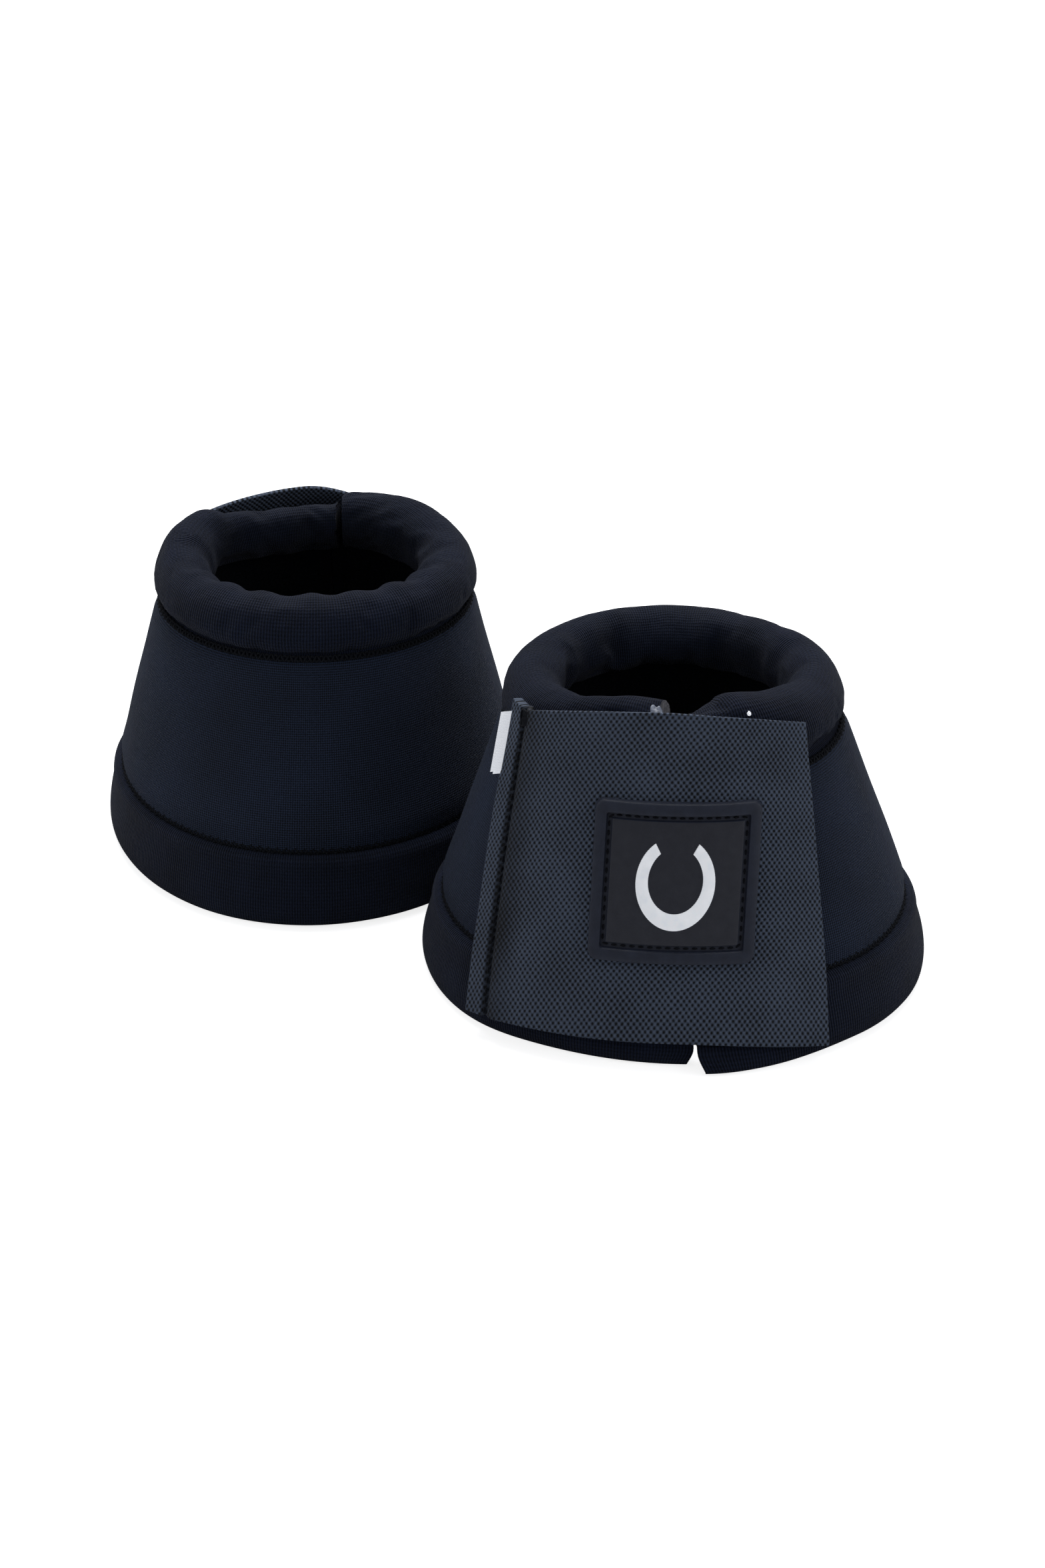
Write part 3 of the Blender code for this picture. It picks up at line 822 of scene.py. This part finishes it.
# Tape under the collar, and the overlock threads.
# The strip slopes inwards, so the roll hangs over its upper edge.
tape = {"width": 5.4 * mm, "thickness": 0.9 * mm, "start": 0.2 * mm, "low": 1.4 * mm, "high": 4.0 * mm}
overlock = {
    "upper": {
        "along": wallRun - 0.3 * mm,
        "depth": 0.2 * mm,
        "sway": 1.0 * mm,
        "pitch": 3.4 * mm,
        "radius": 0.40 * mm,
    },
    "lower": {
        "along": 0.2 * mm,
        "depth": 1.0 * mm,
        "sway": 0.8 * mm,
        "pitch": 3.6 * mm,
        "radius": 0.5 * mm,
    },
}


def makeTape(bootName):
    boot = boots[bootName]
    low = wallRun + tape["start"]
    count = 6
    section = []
    for row in (*range(count + 1), *range(count, -1, -1)):
        behind = tape["thickness"] if len(section) > count else 0.0
        depth = tape["low"] + (tape["high"] - tape["low"]) * row / count + behind
        section.append(wallPoint(depth, low + tape["width"] * row / count))
    bm = spinRing(boot, section, layWall, place)
    splitRing(bootName, bm, "collar_strip", ["ribJersey", "cutFoam"], ["collar_tape"])


def newLine(name, radius, fineness):
    line = bpy.data.curves.new(name, "CURVE")
    line.dimensions = "3D"
    line.bevel_depth = radius
    line.bevel_resolution = fineness
    line.use_fill_caps = True
    return line


def addLine(bm, line):
    # The round thread along a curve joins the mesh.
    holder = addObject(line.name + "_line", line)
    mesh = bakedMesh(holder)
    bm.from_mesh(mesh)
    bpy.data.objects.remove(holder)
    bpy.data.meshes.remove(mesh)


def makeOverlock(bootName, which):
    # Two threads that swing over each other along the edge, as a chain of small loops.
    boot = boots[bootName]
    style = overlock[which]
    reach = wallPoint(style["depth"], style["along"])[0]
    count = int(2 * math.pi * reach / style["pitch"])
    whole = bmesh.new()
    whole.loops.layers.uv.new("fabric")
    for thread in (0, 1):
        line = newLine("thread", style["radius"], 1)
        steps = count * 8
        spline = line.splines.new("POLY")
        spline.points.add(steps)
        for index in range(steps + 1):
            angle = boot["split"] + 0.6 + 358.8 * index / steps
            phase = 2 * math.pi * count * index / steps + math.pi * thread
            wobble = noise.noise(Vector((angle * 0.9, thread * 4.0, 2.0))) * 0.4
            along = style["along"] + style["sway"] * (math.sin(phase) + wobble)
            depth = style["depth"] - 0.35 * mm * math.cos(2 * phase + math.pi * thread)
            radius, height = wallPoint(depth, along)
            edge = min(abs(height - cone["lowZ"]), abs(cone["topZ"] - height))
            spline.points[index].co = (*place(boot, angle, radius - edgeSink(edge) * 0.5, height), 1.0)
        addLine(whole, line)
    bmesh.ops.remove_doubles(whole, verts=whole.verts[:], dist=1e-6)
    layThread(whole)
    finishNames = ["stitchThread", "stitchThread"]
    splitRing(bootName, whole, which + "_chain", finishNames, [which + "_overlock"])


def layThread(bm):
    fabric = bm.loops.layers.uv.verify()
    for face in bm.faces:
        for loop in face.loops:
            spot = loop.vert.co / mm
            loop[fabric].uv = (spot.x + spot.y, spot.z)


# Strap: webbing sewn on along its left margin.
strap = {
    "lowZ": 7.0 * mm,
    "topZ": 108.3 * mm,
    # How far the middle rises at the top and foot, how far the right end drops at each, and between
    # which angles it does.
    "near": (7.7 * mm, 3.2 * mm, 0.0, 4.4 * mm, 0.0, 47.5),
    "far": (6.0 * mm, 3.2 * mm, 7.5 * mm, 0.0, -8.0, 30.0),
    "seam": (-60.0, -47.5),
    "end": (47.5, 34.2),
    "margin": 10.0 * mm,
    "fold": 1.9 * mm,
    # Height, distance beside the seam, and reach.
    "dip": (-1.3 * mm, -0.8 * mm, 1.1 * mm),
    "swell": (0.35 * mm, 4.0 * mm, 3.0 * mm),
    "wave": 0.5 * mm,
    "outer": -4.3 * mm,
    "inner": -2.7 * mm,
    "footRadius": 92.7 * mm,
    "columns": 96,
    "marginColumns": 10,
    "rows": 84,
}


def strapRadius(height, depth):
    # Down the cone, then a little steeper over the hem.
    bendHeight = cone["lowZ"] + 1.4 * mm
    line = wallRadius(max(height, bendHeight), depth)
    foot = strap["footRadius"] - (depth - strap["outer"])
    share = max(bendHeight - height, 0.0) / (bendHeight - strap["lowZ"])
    return line + (foot - line) * share


def edgeAngle(edge, height, inset=0.0):
    # A straight edge seen from its own side, moved sideways by the inset.
    top, low = edge
    view = (top + low) / 2
    across = []
    for angle, level in ((top, strap["topZ"]), (low, cone["lowZ"])):
        across.append(strapRadius(level, strap["outer"]) * math.sin(math.radians(angle - view)))
    share = (height - cone["lowZ"]) / (strap["topZ"] - cone["lowZ"])
    spot = across[1] + (across[0] - across[1]) * share + inset
    return view + math.degrees(math.asin(spot / strapRadius(height, strap["outer"])))


def unrolled(angle, height):
    # Where a point of the cone lies when the webbing is laid flat, in millimetres.
    reach = strapRadius(height, strap["outer"]) / wallSin
    turn = math.radians(angle) * wallSin
    return reach * math.sin(turn) / mm, -reach * math.cos(turn) / mm


def strapBow(bootName, angle, share):
    topBow, footBow, topDrop, footDrop, dropFrom, dropTo = strap[bootName]
    middle = (strap["seam"][0] + strap["end"][0]) / 2
    half = (strap["end"][0] - strap["seam"][0]) / 2
    bow = max(0.0, 1.0 - ((angle - middle) / half) ** 2)
    toRight = smooth(dropFrom, dropTo, angle)
    top = bow * topBow - toRight * topDrop
    foot = bow * footBow - toRight * footDrop
    return foot * (1.0 - share) + top * share


def foldMargin(boot, bm):
    # The margin is folded double, so its inner face lies on the cover.
    for vertex in bm.verts:
        angle, radius, height = unplace(boot, vertex.co)
        beside = math.radians(edgeAngle(strap["seam"], height) - angle) * radius
        middle = strapRadius(height, (strap["outer"] + strap["inner"]) / 2)
        if beside > 0 and radius < middle:
            radius -= strap["fold"] * smooth(0.2 * mm, 1.8 * mm, beside)
            vertex.co = place(boot, angle, radius, height)


def makeStrap(bootName):
    boot = boots[bootName]
    bm = bmesh.new()
    bmesh.ops.create_grid(bm, x_segments=strap["columns"], y_segments=strap["rows"], size=0.5)
    fabric = bm.loops.layers.uv.new("fabric")
    lays = {}
    seamAt = strap["marginColumns"] / strap["columns"]
    for vertex in bm.verts:
        column = vertex.co.x + 0.5
        row = vertex.co.y + 0.5
        level = strap["lowZ"] + (strap["topZ"] - strap["lowZ"]) * row
        seamAngle = edgeAngle(strap["seam"], level)
        if column < seamAt:
            left = edgeAngle(strap["seam"], level, -strap["margin"])
            angle = left + (seamAngle - left) * column / seamAt
        else:
            right = edgeAngle(strap["end"], level)
            angle = seamAngle + (right - seamAngle) * (column - seamAt) / (1.0 - seamAt)
        height = level + strapBow(bootName, angle, row)
        radius = strapRadius(height, strap["outer"])
        beside = math.radians(angle - seamAngle) * radius
        # The stitches draw the webbing down, and it swells a little on both sides of them.
        for lift, middle, reach in (strap["dip"], strap["swell"]):
            radius += lift * math.exp(-((beside - middle) / reach) ** 2)
        spot = Vector((angle / 22.0, height / (35 * mm), boot["facing"] * 5.0))
        radius += noise.noise(spot) * strap["wave"]
        flatSeam = unrolled(seamAngle, level)[0]
        flat = unrolled(angle, height)
        lays[vertex] = (flat[0] - flatSeam, flat[1])
        vertex.co = place(boot, angle, radius, height)
    flatArea = 0.0
    for face in bm.faces:
        spots = [Vector(lays[loop.vert]) for loop in face.loops]
        flatArea += area_tri(spots[0], spots[1], spots[2]) + area_tri(spots[0], spots[2], spots[3])
        for loop, spot in zip(face.loops, spots):
            loop[fabric].uv = spot
    turnOut(bm, boot)
    thickness = strap["inner"] - strap["outer"]
    bmesh.ops.solidify(bm, geom=bm.faces[:], thickness=thickness)
    bmesh.ops.recalc_face_normals(bm, faces=bm.faces[:])
    foldMargin(boot, bm)
    rim = [edge for edge in bm.edges if edge.is_manifold and edge.calc_face_angle() > math.radians(60)]
    bmesh.ops.bevel(bm, geom=rim, offset=0.35 * mm, segments=2, affect="EDGES", profile=0.5, material=-1)
    thing = makeObject(bm, bootName + "_strap_webbing", ["basketWebbing"], 70.0)
    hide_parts(bootName + "_strap", bootName + "_strap_margin")
    # Cut flat as part of a ring, sewn at its left and held by the hook tape at its right.
    low = place(boot, edgeAngle(strap["seam"], 30 * mm), strapRadius(30 * mm, strap["outer"]), 30 * mm)
    top = place(boot, edgeAngle(strap["seam"], 100 * mm), strapRadius(100 * mm, strap["outer"]), 100 * mm)
    along = (top - low).normalized()
    view = sum(strap["seam"]) / 2
    out = outward(boot, view)
    across = along.cross(out) if along.cross(out).x > 0 else out.cross(along)
    across = (across - along * across.dot(along)).normalized()
    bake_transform(thing)


# Pieces laid on the strap and under it.
def onFront(boot, x, height, depth):
    # The place on the front with this distance across, height and depth.
    radius = wallRadius(height, depth)
    angle = math.degrees(math.asin(x / radius))
    for step in range(6):
        point = place(boot, angle, radius, height)
        angle += math.degrees((x - (point.x - boot["middle"].x)) / radius / math.cos(math.radians(angle)))
    return place(boot, angle, radius, height)


def makeStitches(name, spots, length, thickness, body, nodes):
    # Short raised stitches, each one a small pod lying between two places.
    bm = bmesh.new()
    bm.loops.layers.uv.new("fabric")
    for low, high, out in spots:
        along = (high - low).normalized()
        side = along.cross(out).normalized()
        lift = side.cross(along).normalized()
        middle = (low + high) / 2
        pod = bmesh.ops.create_icosphere(bm, subdivisions=1, radius=1.0)
        for vertex in pod["verts"]:
            spot = vertex.co
            across = side * spot.y + lift * spot.z
            vertex.co = middle + along * spot.x * length / 2 + across * thickness / 2
    layThread(bm)
    thing = makeObject(bm, name, ["stitchThread"], 180.0)
    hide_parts(*nodes)
    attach(thing, body)


def makeSeamStitches(bootName):
    boot = boots[bootName]
    spots = []
    level = strap["lowZ"] + 2 * mm
    while level < strap["topZ"] - 2 * mm:
        ends = []
        for height in (level, level + 2.6 * mm):
            angle = edgeAngle(strap["seam"], height, -0.9 * mm)
            ends.append(place(boot, angle, strapRadius(height, strap["outer"]) - 0.55 * mm, height))
        spots.append((ends[0], ends[1], outward(boot, strap["seam"][0])))
        level += 3.3 * mm
    name = bootName + "_strap_seam_stitches"
    nodes = [bootName + "_strap_seam_thread"]
    makeStitches(name, spots, 2.7 * mm, 0.9 * mm, bootName + "_left", nodes)


patches = {
    "hook_patch": {
        "width": 32.0,
        "margin": 2.5,
        "outer": -2.4,
        "thickness": 0.9,
        "finish": "hookTape",
        "slot": "hook_tape",
        "body": "strap",
    },
    "loop_patch": {
        "width": 30.0,
        "margin": 3.5,
        "outer": -1.2,
        "thickness": 0.9,
        "finish": "loopTape",
        "slot": "loop_tape",
        "body": "right",
    },
}


def makePatch(bootName, which):
    boot = boots[bootName]
    style = patches[which]
    bm = bmesh.new()
    bmesh.ops.create_grid(bm, x_segments=32, y_segments=40, size=0.5)
    fabric = bm.loops.layers.uv.new("fabric")
    lays = {}
    low = cone["lowZ"] + style["margin"] * mm
    high = cone["topZ"] - style["margin"] * mm
    for vertex in bm.verts:
        height = low + (high - low) * (vertex.co.y + 0.5)
        inset = -(4.0 + style["width"] * (0.5 - vertex.co.x)) * mm
        angle = edgeAngle(strap["end"], height, inset)
        lays[vertex] = (inset / mm, height / mm)
        vertex.co = place(boot, angle, wallRadius(height, style["outer"] * mm), height)
    layOut(bm, fabric, lays)
    turnOut(bm, boot)
    bmesh.ops.solidify(bm, geom=bm.faces[:], thickness=style["thickness"] * mm)
    thing = makeObject(bm, f"{bootName}_{which}_tape", [style["finish"]])
    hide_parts(f"{bootName}_{which}")
    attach(thing, f"{bootName}_{style['body']}")


def turnOut(bm, boot):
    bmesh.ops.recalc_face_normals(bm, faces=bm.faces[:])
    middle = boot["middle"] + Vector((0, 0, 60 * mm))
    bm.faces.ensure_lookup_table()
    face = bm.faces[0]
    if face.normal.dot(face.calc_center_median() - middle) < 0:
        bmesh.ops.reverse_faces(bm, faces=bm.faces[:])


label = {"width": 5.2, "high": 104.5, "tall": 19.0, "ply": 0.3, "depth": -1.6}


def makeLabel(bootName):
    # A blank satin tab folded double, its fold standing out beyond the margin.
    boot = boots[bootName]
    bm = bmesh.new()
    fabric = bm.loops.layers.uv.new("fabric")
    lays = {}
    for ply, (short, lift) in enumerate(((0.0, 0.75), (0.9, 0.1))):
        grid = bmesh.ops.create_grid(bm, x_segments=8, y_segments=20, size=0.5)
        for vertex in grid["verts"]:
            out = (0.5 - vertex.co.x) * label["width"]
            height = (label["high"] - label["tall"] * (0.5 - vertex.co.y)) * mm
            height -= short * mm
            curl = 0.6 * (out / label["width"]) ** 2 * (1.0 if ply == 0 else 0.3)
            angle = edgeAngle(strap["seam"], height, -strap["margin"] + 1.5 * mm)
            lays[vertex] = (out, height / mm)
            root = place(boot, angle, wallRadius(height, (label["depth"] - lift) * mm), height)
            turn = math.radians(angle)
            # The near tab stands out sideways; the far one lies along the cover.
            if bootName == "near":
                flag = Vector((-0.985, -0.17, 0.0))
            else:
                flag = Vector((-math.cos(turn), math.sin(turn), 0.0))
            vertex.co = root + flag * out * mm + outward(boot, angle) * curl * mm
    layOut(bm, fabric, lays)
    bmesh.ops.recalc_face_normals(bm, faces=bm.faces[:])
    bmesh.ops.solidify(bm, geom=bm.faces[:], thickness=label["ply"] * mm)
    thing = makeObject(bm, bootName + "_label_tab", ["satinLabel"])
    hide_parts(bootName + "_label")
    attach(thing, bootName + "_left")


badge = {
    "width": 56.0,
    "height": 51.0,
    "corner": 3.0,
    "centreX": -1.0,
    "centreZ": 62.7,
    "lean": 3.0,
    "base": 4.8,
    # How far in from the outline, and how high above the strap.
    "profile": (
        (0.0, 0.0), (0.0, 1.75), (0.15, 2.05), (0.45, 2.2), (2.0, 2.22), (3.3, 2.2), (3.7, 2.05), (3.85, 1.7),
        (3.9, 0.6), (5.7, 0.6), (5.75, 1.35), (5.9, 1.5), (6.2, 1.55), (8.5, 1.6), (11.0, 1.75), (14.0, 1.9),
        (17.0, 1.95), (20.0, 1.95), (23.0, 1.95), (24.8, 1.95),
    ),
    "points": 96,
}


def badgeOutline(inset):
    # The badge's rounded square, moved inwards.
    halfWide = badge["width"] / 2 - inset
    halfTall = badge["height"] / 2 - inset
    roundness = max(badge["corner"] - inset * 0.6, 0.35)
    roundness = min(roundness, halfWide, halfTall)
    points = []
    perSide = badge["points"] // 4
    arc = 6
    for corner, (sideX, sideZ) in enumerate(((1, 1), (-1, 1), (-1, -1), (1, -1))):
        cx, cz = sideX * (halfWide - roundness), sideZ * (halfTall - roundness)
        for step in range(arc):
            turn = math.radians(90.0 * corner + 90.0 * step / (arc - 1))
            points.append((cx + roundness * math.cos(turn), cz + roundness * math.sin(turn)))
        nextX, nextZ = ((-1, 1), (-1, -1), (1, -1), (1, 1))[corner]
        turn = math.radians(90.0 * corner + 90.0)
        start = points[-1]
        end = (
            nextX * (halfWide - roundness) + roundness * math.cos(turn),
            nextZ * (halfTall - roundness) + roundness * math.sin(turn),
        )
        for step in range(1, perSide - arc + 1):
            share = step / (perSide - arc + 1)
            points.append((start[0] + (end[0] - start[0]) * share, start[1] + (end[1] - start[1]) * share))
    return points


def badgePoint(boot, x, z, high):
    across = (badge["centreX"] + x + badge["lean"] * z / badge["height"]) * mm
    return onFront(boot, across, (badge["centreZ"] + z) * mm, -(badge["base"] + high) * mm)


def makeBadge(bootName):
    boot = boots[bootName]
    bm = bmesh.new()
    fabric = bm.loops.layers.uv.new("fabric")
    flat = {}
    loops = []
    layers = list(badge["profile"]) + [(inset, 0.0) for inset in (24.8, 20.0, 14.0, 8.0)]
    for inset, high in layers:
        corners = [(badgePoint(boot, x, z, high), (x, z)) for x, z in badgeOutline(inset)]
        loops.append(addRing(bm, corners, flat))
    top = len(badge["profile"])
    for first, second in zip(range(top), range(1, top)):
        band = bmesh.ops.bridge_loops(bm, edges=loops[first] + loops[second])
        for face in band["faces"]:
            face.material_index = 1 if badge["profile"][second][0] > 6.0 else 0
    under = [0, *range(len(layers) - 1, top - 1, -1)]
    for first, second in zip(under, under[1:]):
        bmesh.ops.bridge_loops(bm, edges=loops[first] + loops[second])
    for loop, plate in ((loops[top - 1], 1), (loops[top], 0)):
        cap = bmesh.ops.contextual_create(bm, geom=loop)
        for face in cap["faces"]:
            face.material_index = plate
    layOut(bm, fabric, flat)
    thing = makeObject(bm, bootName + "_badge_moulding", ["mouldedRubber", "mouldedPlate"], 35.0)
    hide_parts(bootName + "_badge")
    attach(thing, bootName + "_strap")


def makeBadgeStitches(bootName):
    boot = boots[bootName]
    outline = badgeOutline(4.8)
    total = 0.0
    path = []
    for index, point in enumerate(outline + outline[:1]):
        if index:
            total += math.dist(point, path[-1][1])
        path.append((total, point))
    count = int(total / 3.0)

    def spotAt(way):
        way = way % total
        for (before, first), (after, second) in zip(path, path[1:]):
            if before <= way <= after and after > before:
                share = (way - before) / (after - before)
                return first[0] + (second[0] - first[0]) * share, first[1] + (second[1] - first[1]) * share
        return path[0][1]

    spots = []
    for index in range(count):
        low = badgePoint(boot, *spotAt(total * index / count), 0.9)
        high = badgePoint(boot, *spotAt(total * index / count + 2.2), 0.9)
        spots.append((low, high, outward(boot, 0.0)))
    name = bootName + "_badge_stitches"
    nodes = [bootName + "_badge_thread"]
    makeStitches(name, spots, 2.3 * mm, 0.8 * mm, bootName + "_strap", nodes)


emblem = {
    "reach": 13.5,
    "band": 4.9,
    "stretch": 1.12,
    "opening": 66.0,
    "base": 2.0,
    # Share of the band's width from its outer edge, and height.
    "section": (
        (0.0, 0.0), (0.0, 0.45), (0.15, 0.68), (0.4, 0.75), (0.5, 0.77),
        (0.6, 0.75), (0.85, 0.68), (1.0, 0.45), (1.0, 0.0),
    ),
}


def makeEmblem(bootName):
    # A plain horseshoe with its open end up, crowned across its band and narrower at its heels.
    boot = boots[bootName]
    bm = bmesh.new()
    fabric = bm.loops.layers.uv.new("fabric")
    steps = 60
    rows = []
    flat = {}
    for index in range(steps + 1):
        turn = math.radians(90.0 + emblem["opening"] / 2 + (360.0 - emblem["opening"]) * index / steps)
        heel = abs(index / steps - 0.5) * 2
        band = emblem["band"] * (1.0 - 0.28 * heel ** 2)
        corners = []
        for share, high in emblem["section"]:
            reach = emblem["reach"] - band * (share * 0.94 + 0.03)
            x = reach * math.cos(turn)
            z = reach * math.sin(turn) * emblem["stretch"] + 0.5
            corners.append((badgePoint(boot, x, z, emblem["base"] + high), (x, z)))
        rows.append(addRing(bm, corners, flat))
    for first, second in zip(rows, rows[1:]):
        bmesh.ops.bridge_loops(bm, edges=first + second)
    for row in (rows[0], rows[-1]):
        bmesh.ops.contextual_create(bm, geom=row)
    layOut(bm, fabric, flat)
    thing = makeObject(bm, bootName + "_badge_horseshoe", ["whiteRubber"], 40.0)
    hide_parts(bootName + "_badge_emblem")
    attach(thing, bootName + "_strap")


# Small things at the near boot's split.
smears = (
    # Name, finish, place, size across and up and out, and the side of the split it is stuck to.
    ("near_glue_left", "driedGlue", (52.6, -100.0, 113.0), (2.3, 3.4, 0.5), "left"),
    ("near_glue_right", "driedGlue", (63.9, -103.0, 110.0), (1.3, 2.6, 0.6), "right"),
    ("near_thread_end", "satinLabel", (82.8, -99.5, 110.5), (0.6, 0.9, 0.4), "right"),
)


def makeSmears():
    for name, finish, spot, size, side in smears:
        pieceName = "near_collar_roll_" + side
        tree = BVHTree.FromObject(bpy.data.objects[pieceName], bpy.context.evaluated_depsgraph_get())
        spot, normal = tree.find_nearest(Vector(spot) * mm)[:2]
        across = Vector((1.0, 0.0, 0.0))
        up = normal.cross(across).normalized()
        across = up.cross(normal).normalized()
        bm = bmesh.new()
        blob = bmesh.ops.create_icosphere(bm, subdivisions=4, radius=1.0)
        for vertex in blob["verts"]:
            lump = 1.0 + 0.45 * noise.noise(vertex.co * 1.7 + Vector(size))
            flat = vertex.co * lump
            offset = across * flat.x * size[0] + up * flat.y * size[1] + normal * flat.z * size[2]
            vertex.co = spot + offset * mm
        bm.loops.layers.uv.new("fabric")
        layThread(bm)
        thing = makeObject(bm, name, [finish], 180.0)
        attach(thing, "near_" + side)


def makeTail(name, points, thickness, body):
    # A loose sewing thread laid through a few places.
    line = newLine(name, thickness / 2, 2)
    spline = line.splines.new("BEZIER")
    spline.bezier_points.add(len(points) - 1)
    for knot, spot in zip(spline.bezier_points, points):
        knot.co = Vector(spot) * mm
        knot.handle_left_type = knot.handle_right_type = "AUTO"
    bm = bmesh.new()
    addLine(bm, line)
    layThread(bm)
    thing = makeObject(bm, name, ["stitchThread"], 180.0)
    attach(thing, body)


def makeBartack(bootName):
    # A few turns of thread over the strap's top corner at the seam.
    boot = boots[bootName]
    points = []
    for index in range(9):
        height = strap["topZ"] - (0.6 if index % 2 else 6.0 - index * 0.2) * mm
        angle = edgeAngle(strap["seam"], height, (index * 0.45 - 1.4) * mm)
        radius = strapRadius(height, strap["outer"]) + 0.1 * mm
        points.append(place(boot, angle, radius, height) / mm)
    makeTail(bootName + "_bartack", points, 0.7 * mm, bootName + "_left")


for bootName in boots:
    makeShell(bootName)
    makeHem(bootName)
    print(bootName, "shell and hem made")
    makeCollar(bootName)
    makeTape(bootName)
    makeOverlock(bootName, "upper")
    makeOverlock(bootName, "lower")
    print(bootName, "collar and threads made")
    makeStrap(bootName)
    makeSeamStitches(bootName)
    for which in patches:
        makePatch(bootName, which)
    makeLabel(bootName)
    makeBadge(bootName)
    makeBadgeStitches(bootName)
    makeEmblem(bootName)
    makeBartack(bootName)
    print(bootName, "strap and badge made")
makeSmears()


# Studio: camera, floor and soft light.
studio = {
    "distance": 1.373,
    "elevation": 26.66,
    "target": boots["near"]["middle"] + Vector((-52.3, 28.6, 50.8)) * mm,
    "lens": 87.46,
    "sensor": 36.0,
    "world": 0.30,
    # Name, place, size and power.
    "lights": (
        ("top", (0.0, 0.95, 1.55), 1.5, 40.0),
        ("left", (-1.5, -0.5, 1.0), 1.0, 4.0),
        ("right", (1.5, -0.7, 0.9), 1.0, 6.0),
    ),
}


def addLight(name, spot, size, power):
    data = bpy.data.lights.new(name, "AREA")
    data.size = size
    data.energy = power
    lamp = addObject(name, data)
    lamp.location = spot
    lamp.rotation_euler = (Vector((0, 0, 0.05)) - Vector(spot)).to_track_quat("-Z", "Y").to_euler()


def makeStudio():
    tilt = math.radians(studio["elevation"])
    data = bpy.data.cameras.new("camera")
    data.lens = studio["lens"]
    data.sensor_fit = "VERTICAL"
    data.sensor_height = studio["sensor"]
    data.sensor_width = studio["sensor"]
    camera = addObject("camera", data)
    back = Vector((0.0, -math.cos(tilt), math.sin(tilt))) * studio["distance"]
    camera.location = studio["target"] + back
    camera.rotation_euler = (math.pi / 2 - tilt, 0.0, 0.0)
    bpy.context.scene.camera = camera
    bm = bmesh.new()
    bmesh.ops.create_grid(bm, x_segments=1, y_segments=1, size=6.0)
    mesh = bpy.data.meshes.new("floor")
    bm.to_mesh(mesh)
    bm.free()
    floor = addObject("floor", mesh)
    floor.location = (0.0, 0.0, -0.0002)
    tree, shader = newFinish("paleFloor", 0.9, 0.1)
    shader.inputs["Base Color"].default_value = toLinear("#cccdd0")
    # A lit sweep: it looks white, and throws little light back up under the hems.
    seen = addNode(tree, "ShaderNodeLightPath").outputs["Is Camera Ray"]
    shader.inputs["Emission Color"].default_value = (1.0, 1.0, 1.0, 1.0)
    tree.links.new(weighted(tree, (seen, 0.8)), shader.inputs["Emission Strength"])
    mesh.materials.append(finishes["paleFloor"])
    floor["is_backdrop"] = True
    world = bpy.data.worlds.new("studio")
    world.use_nodes = True
    tree = world.node_tree
    sky = tree.nodes["Background"]
    sky.inputs[0].default_value = (1.0, 1.0, 1.0, 1.0)
    seen = addNode(tree, "ShaderNodeLightPath").outputs["Is Camera Ray"]
    glow = weighted(tree, (seen, 1.0 - studio["world"]), base=studio["world"])
    tree.links.new(glow, sky.inputs[1])
    bpy.context.scene.world = world
    bpy.context.scene.view_settings.view_transform = "Standard"
    for light in studio["lights"]:
        addLight(*light)


makeStudio()
print("studio ready")

shownBox = [[float(value) for value in corner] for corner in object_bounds()]
for low, high in zip(cadBox, shownBox):
    print("box", [round(value, 4) for value in low], [round(value, 4) for value in high])
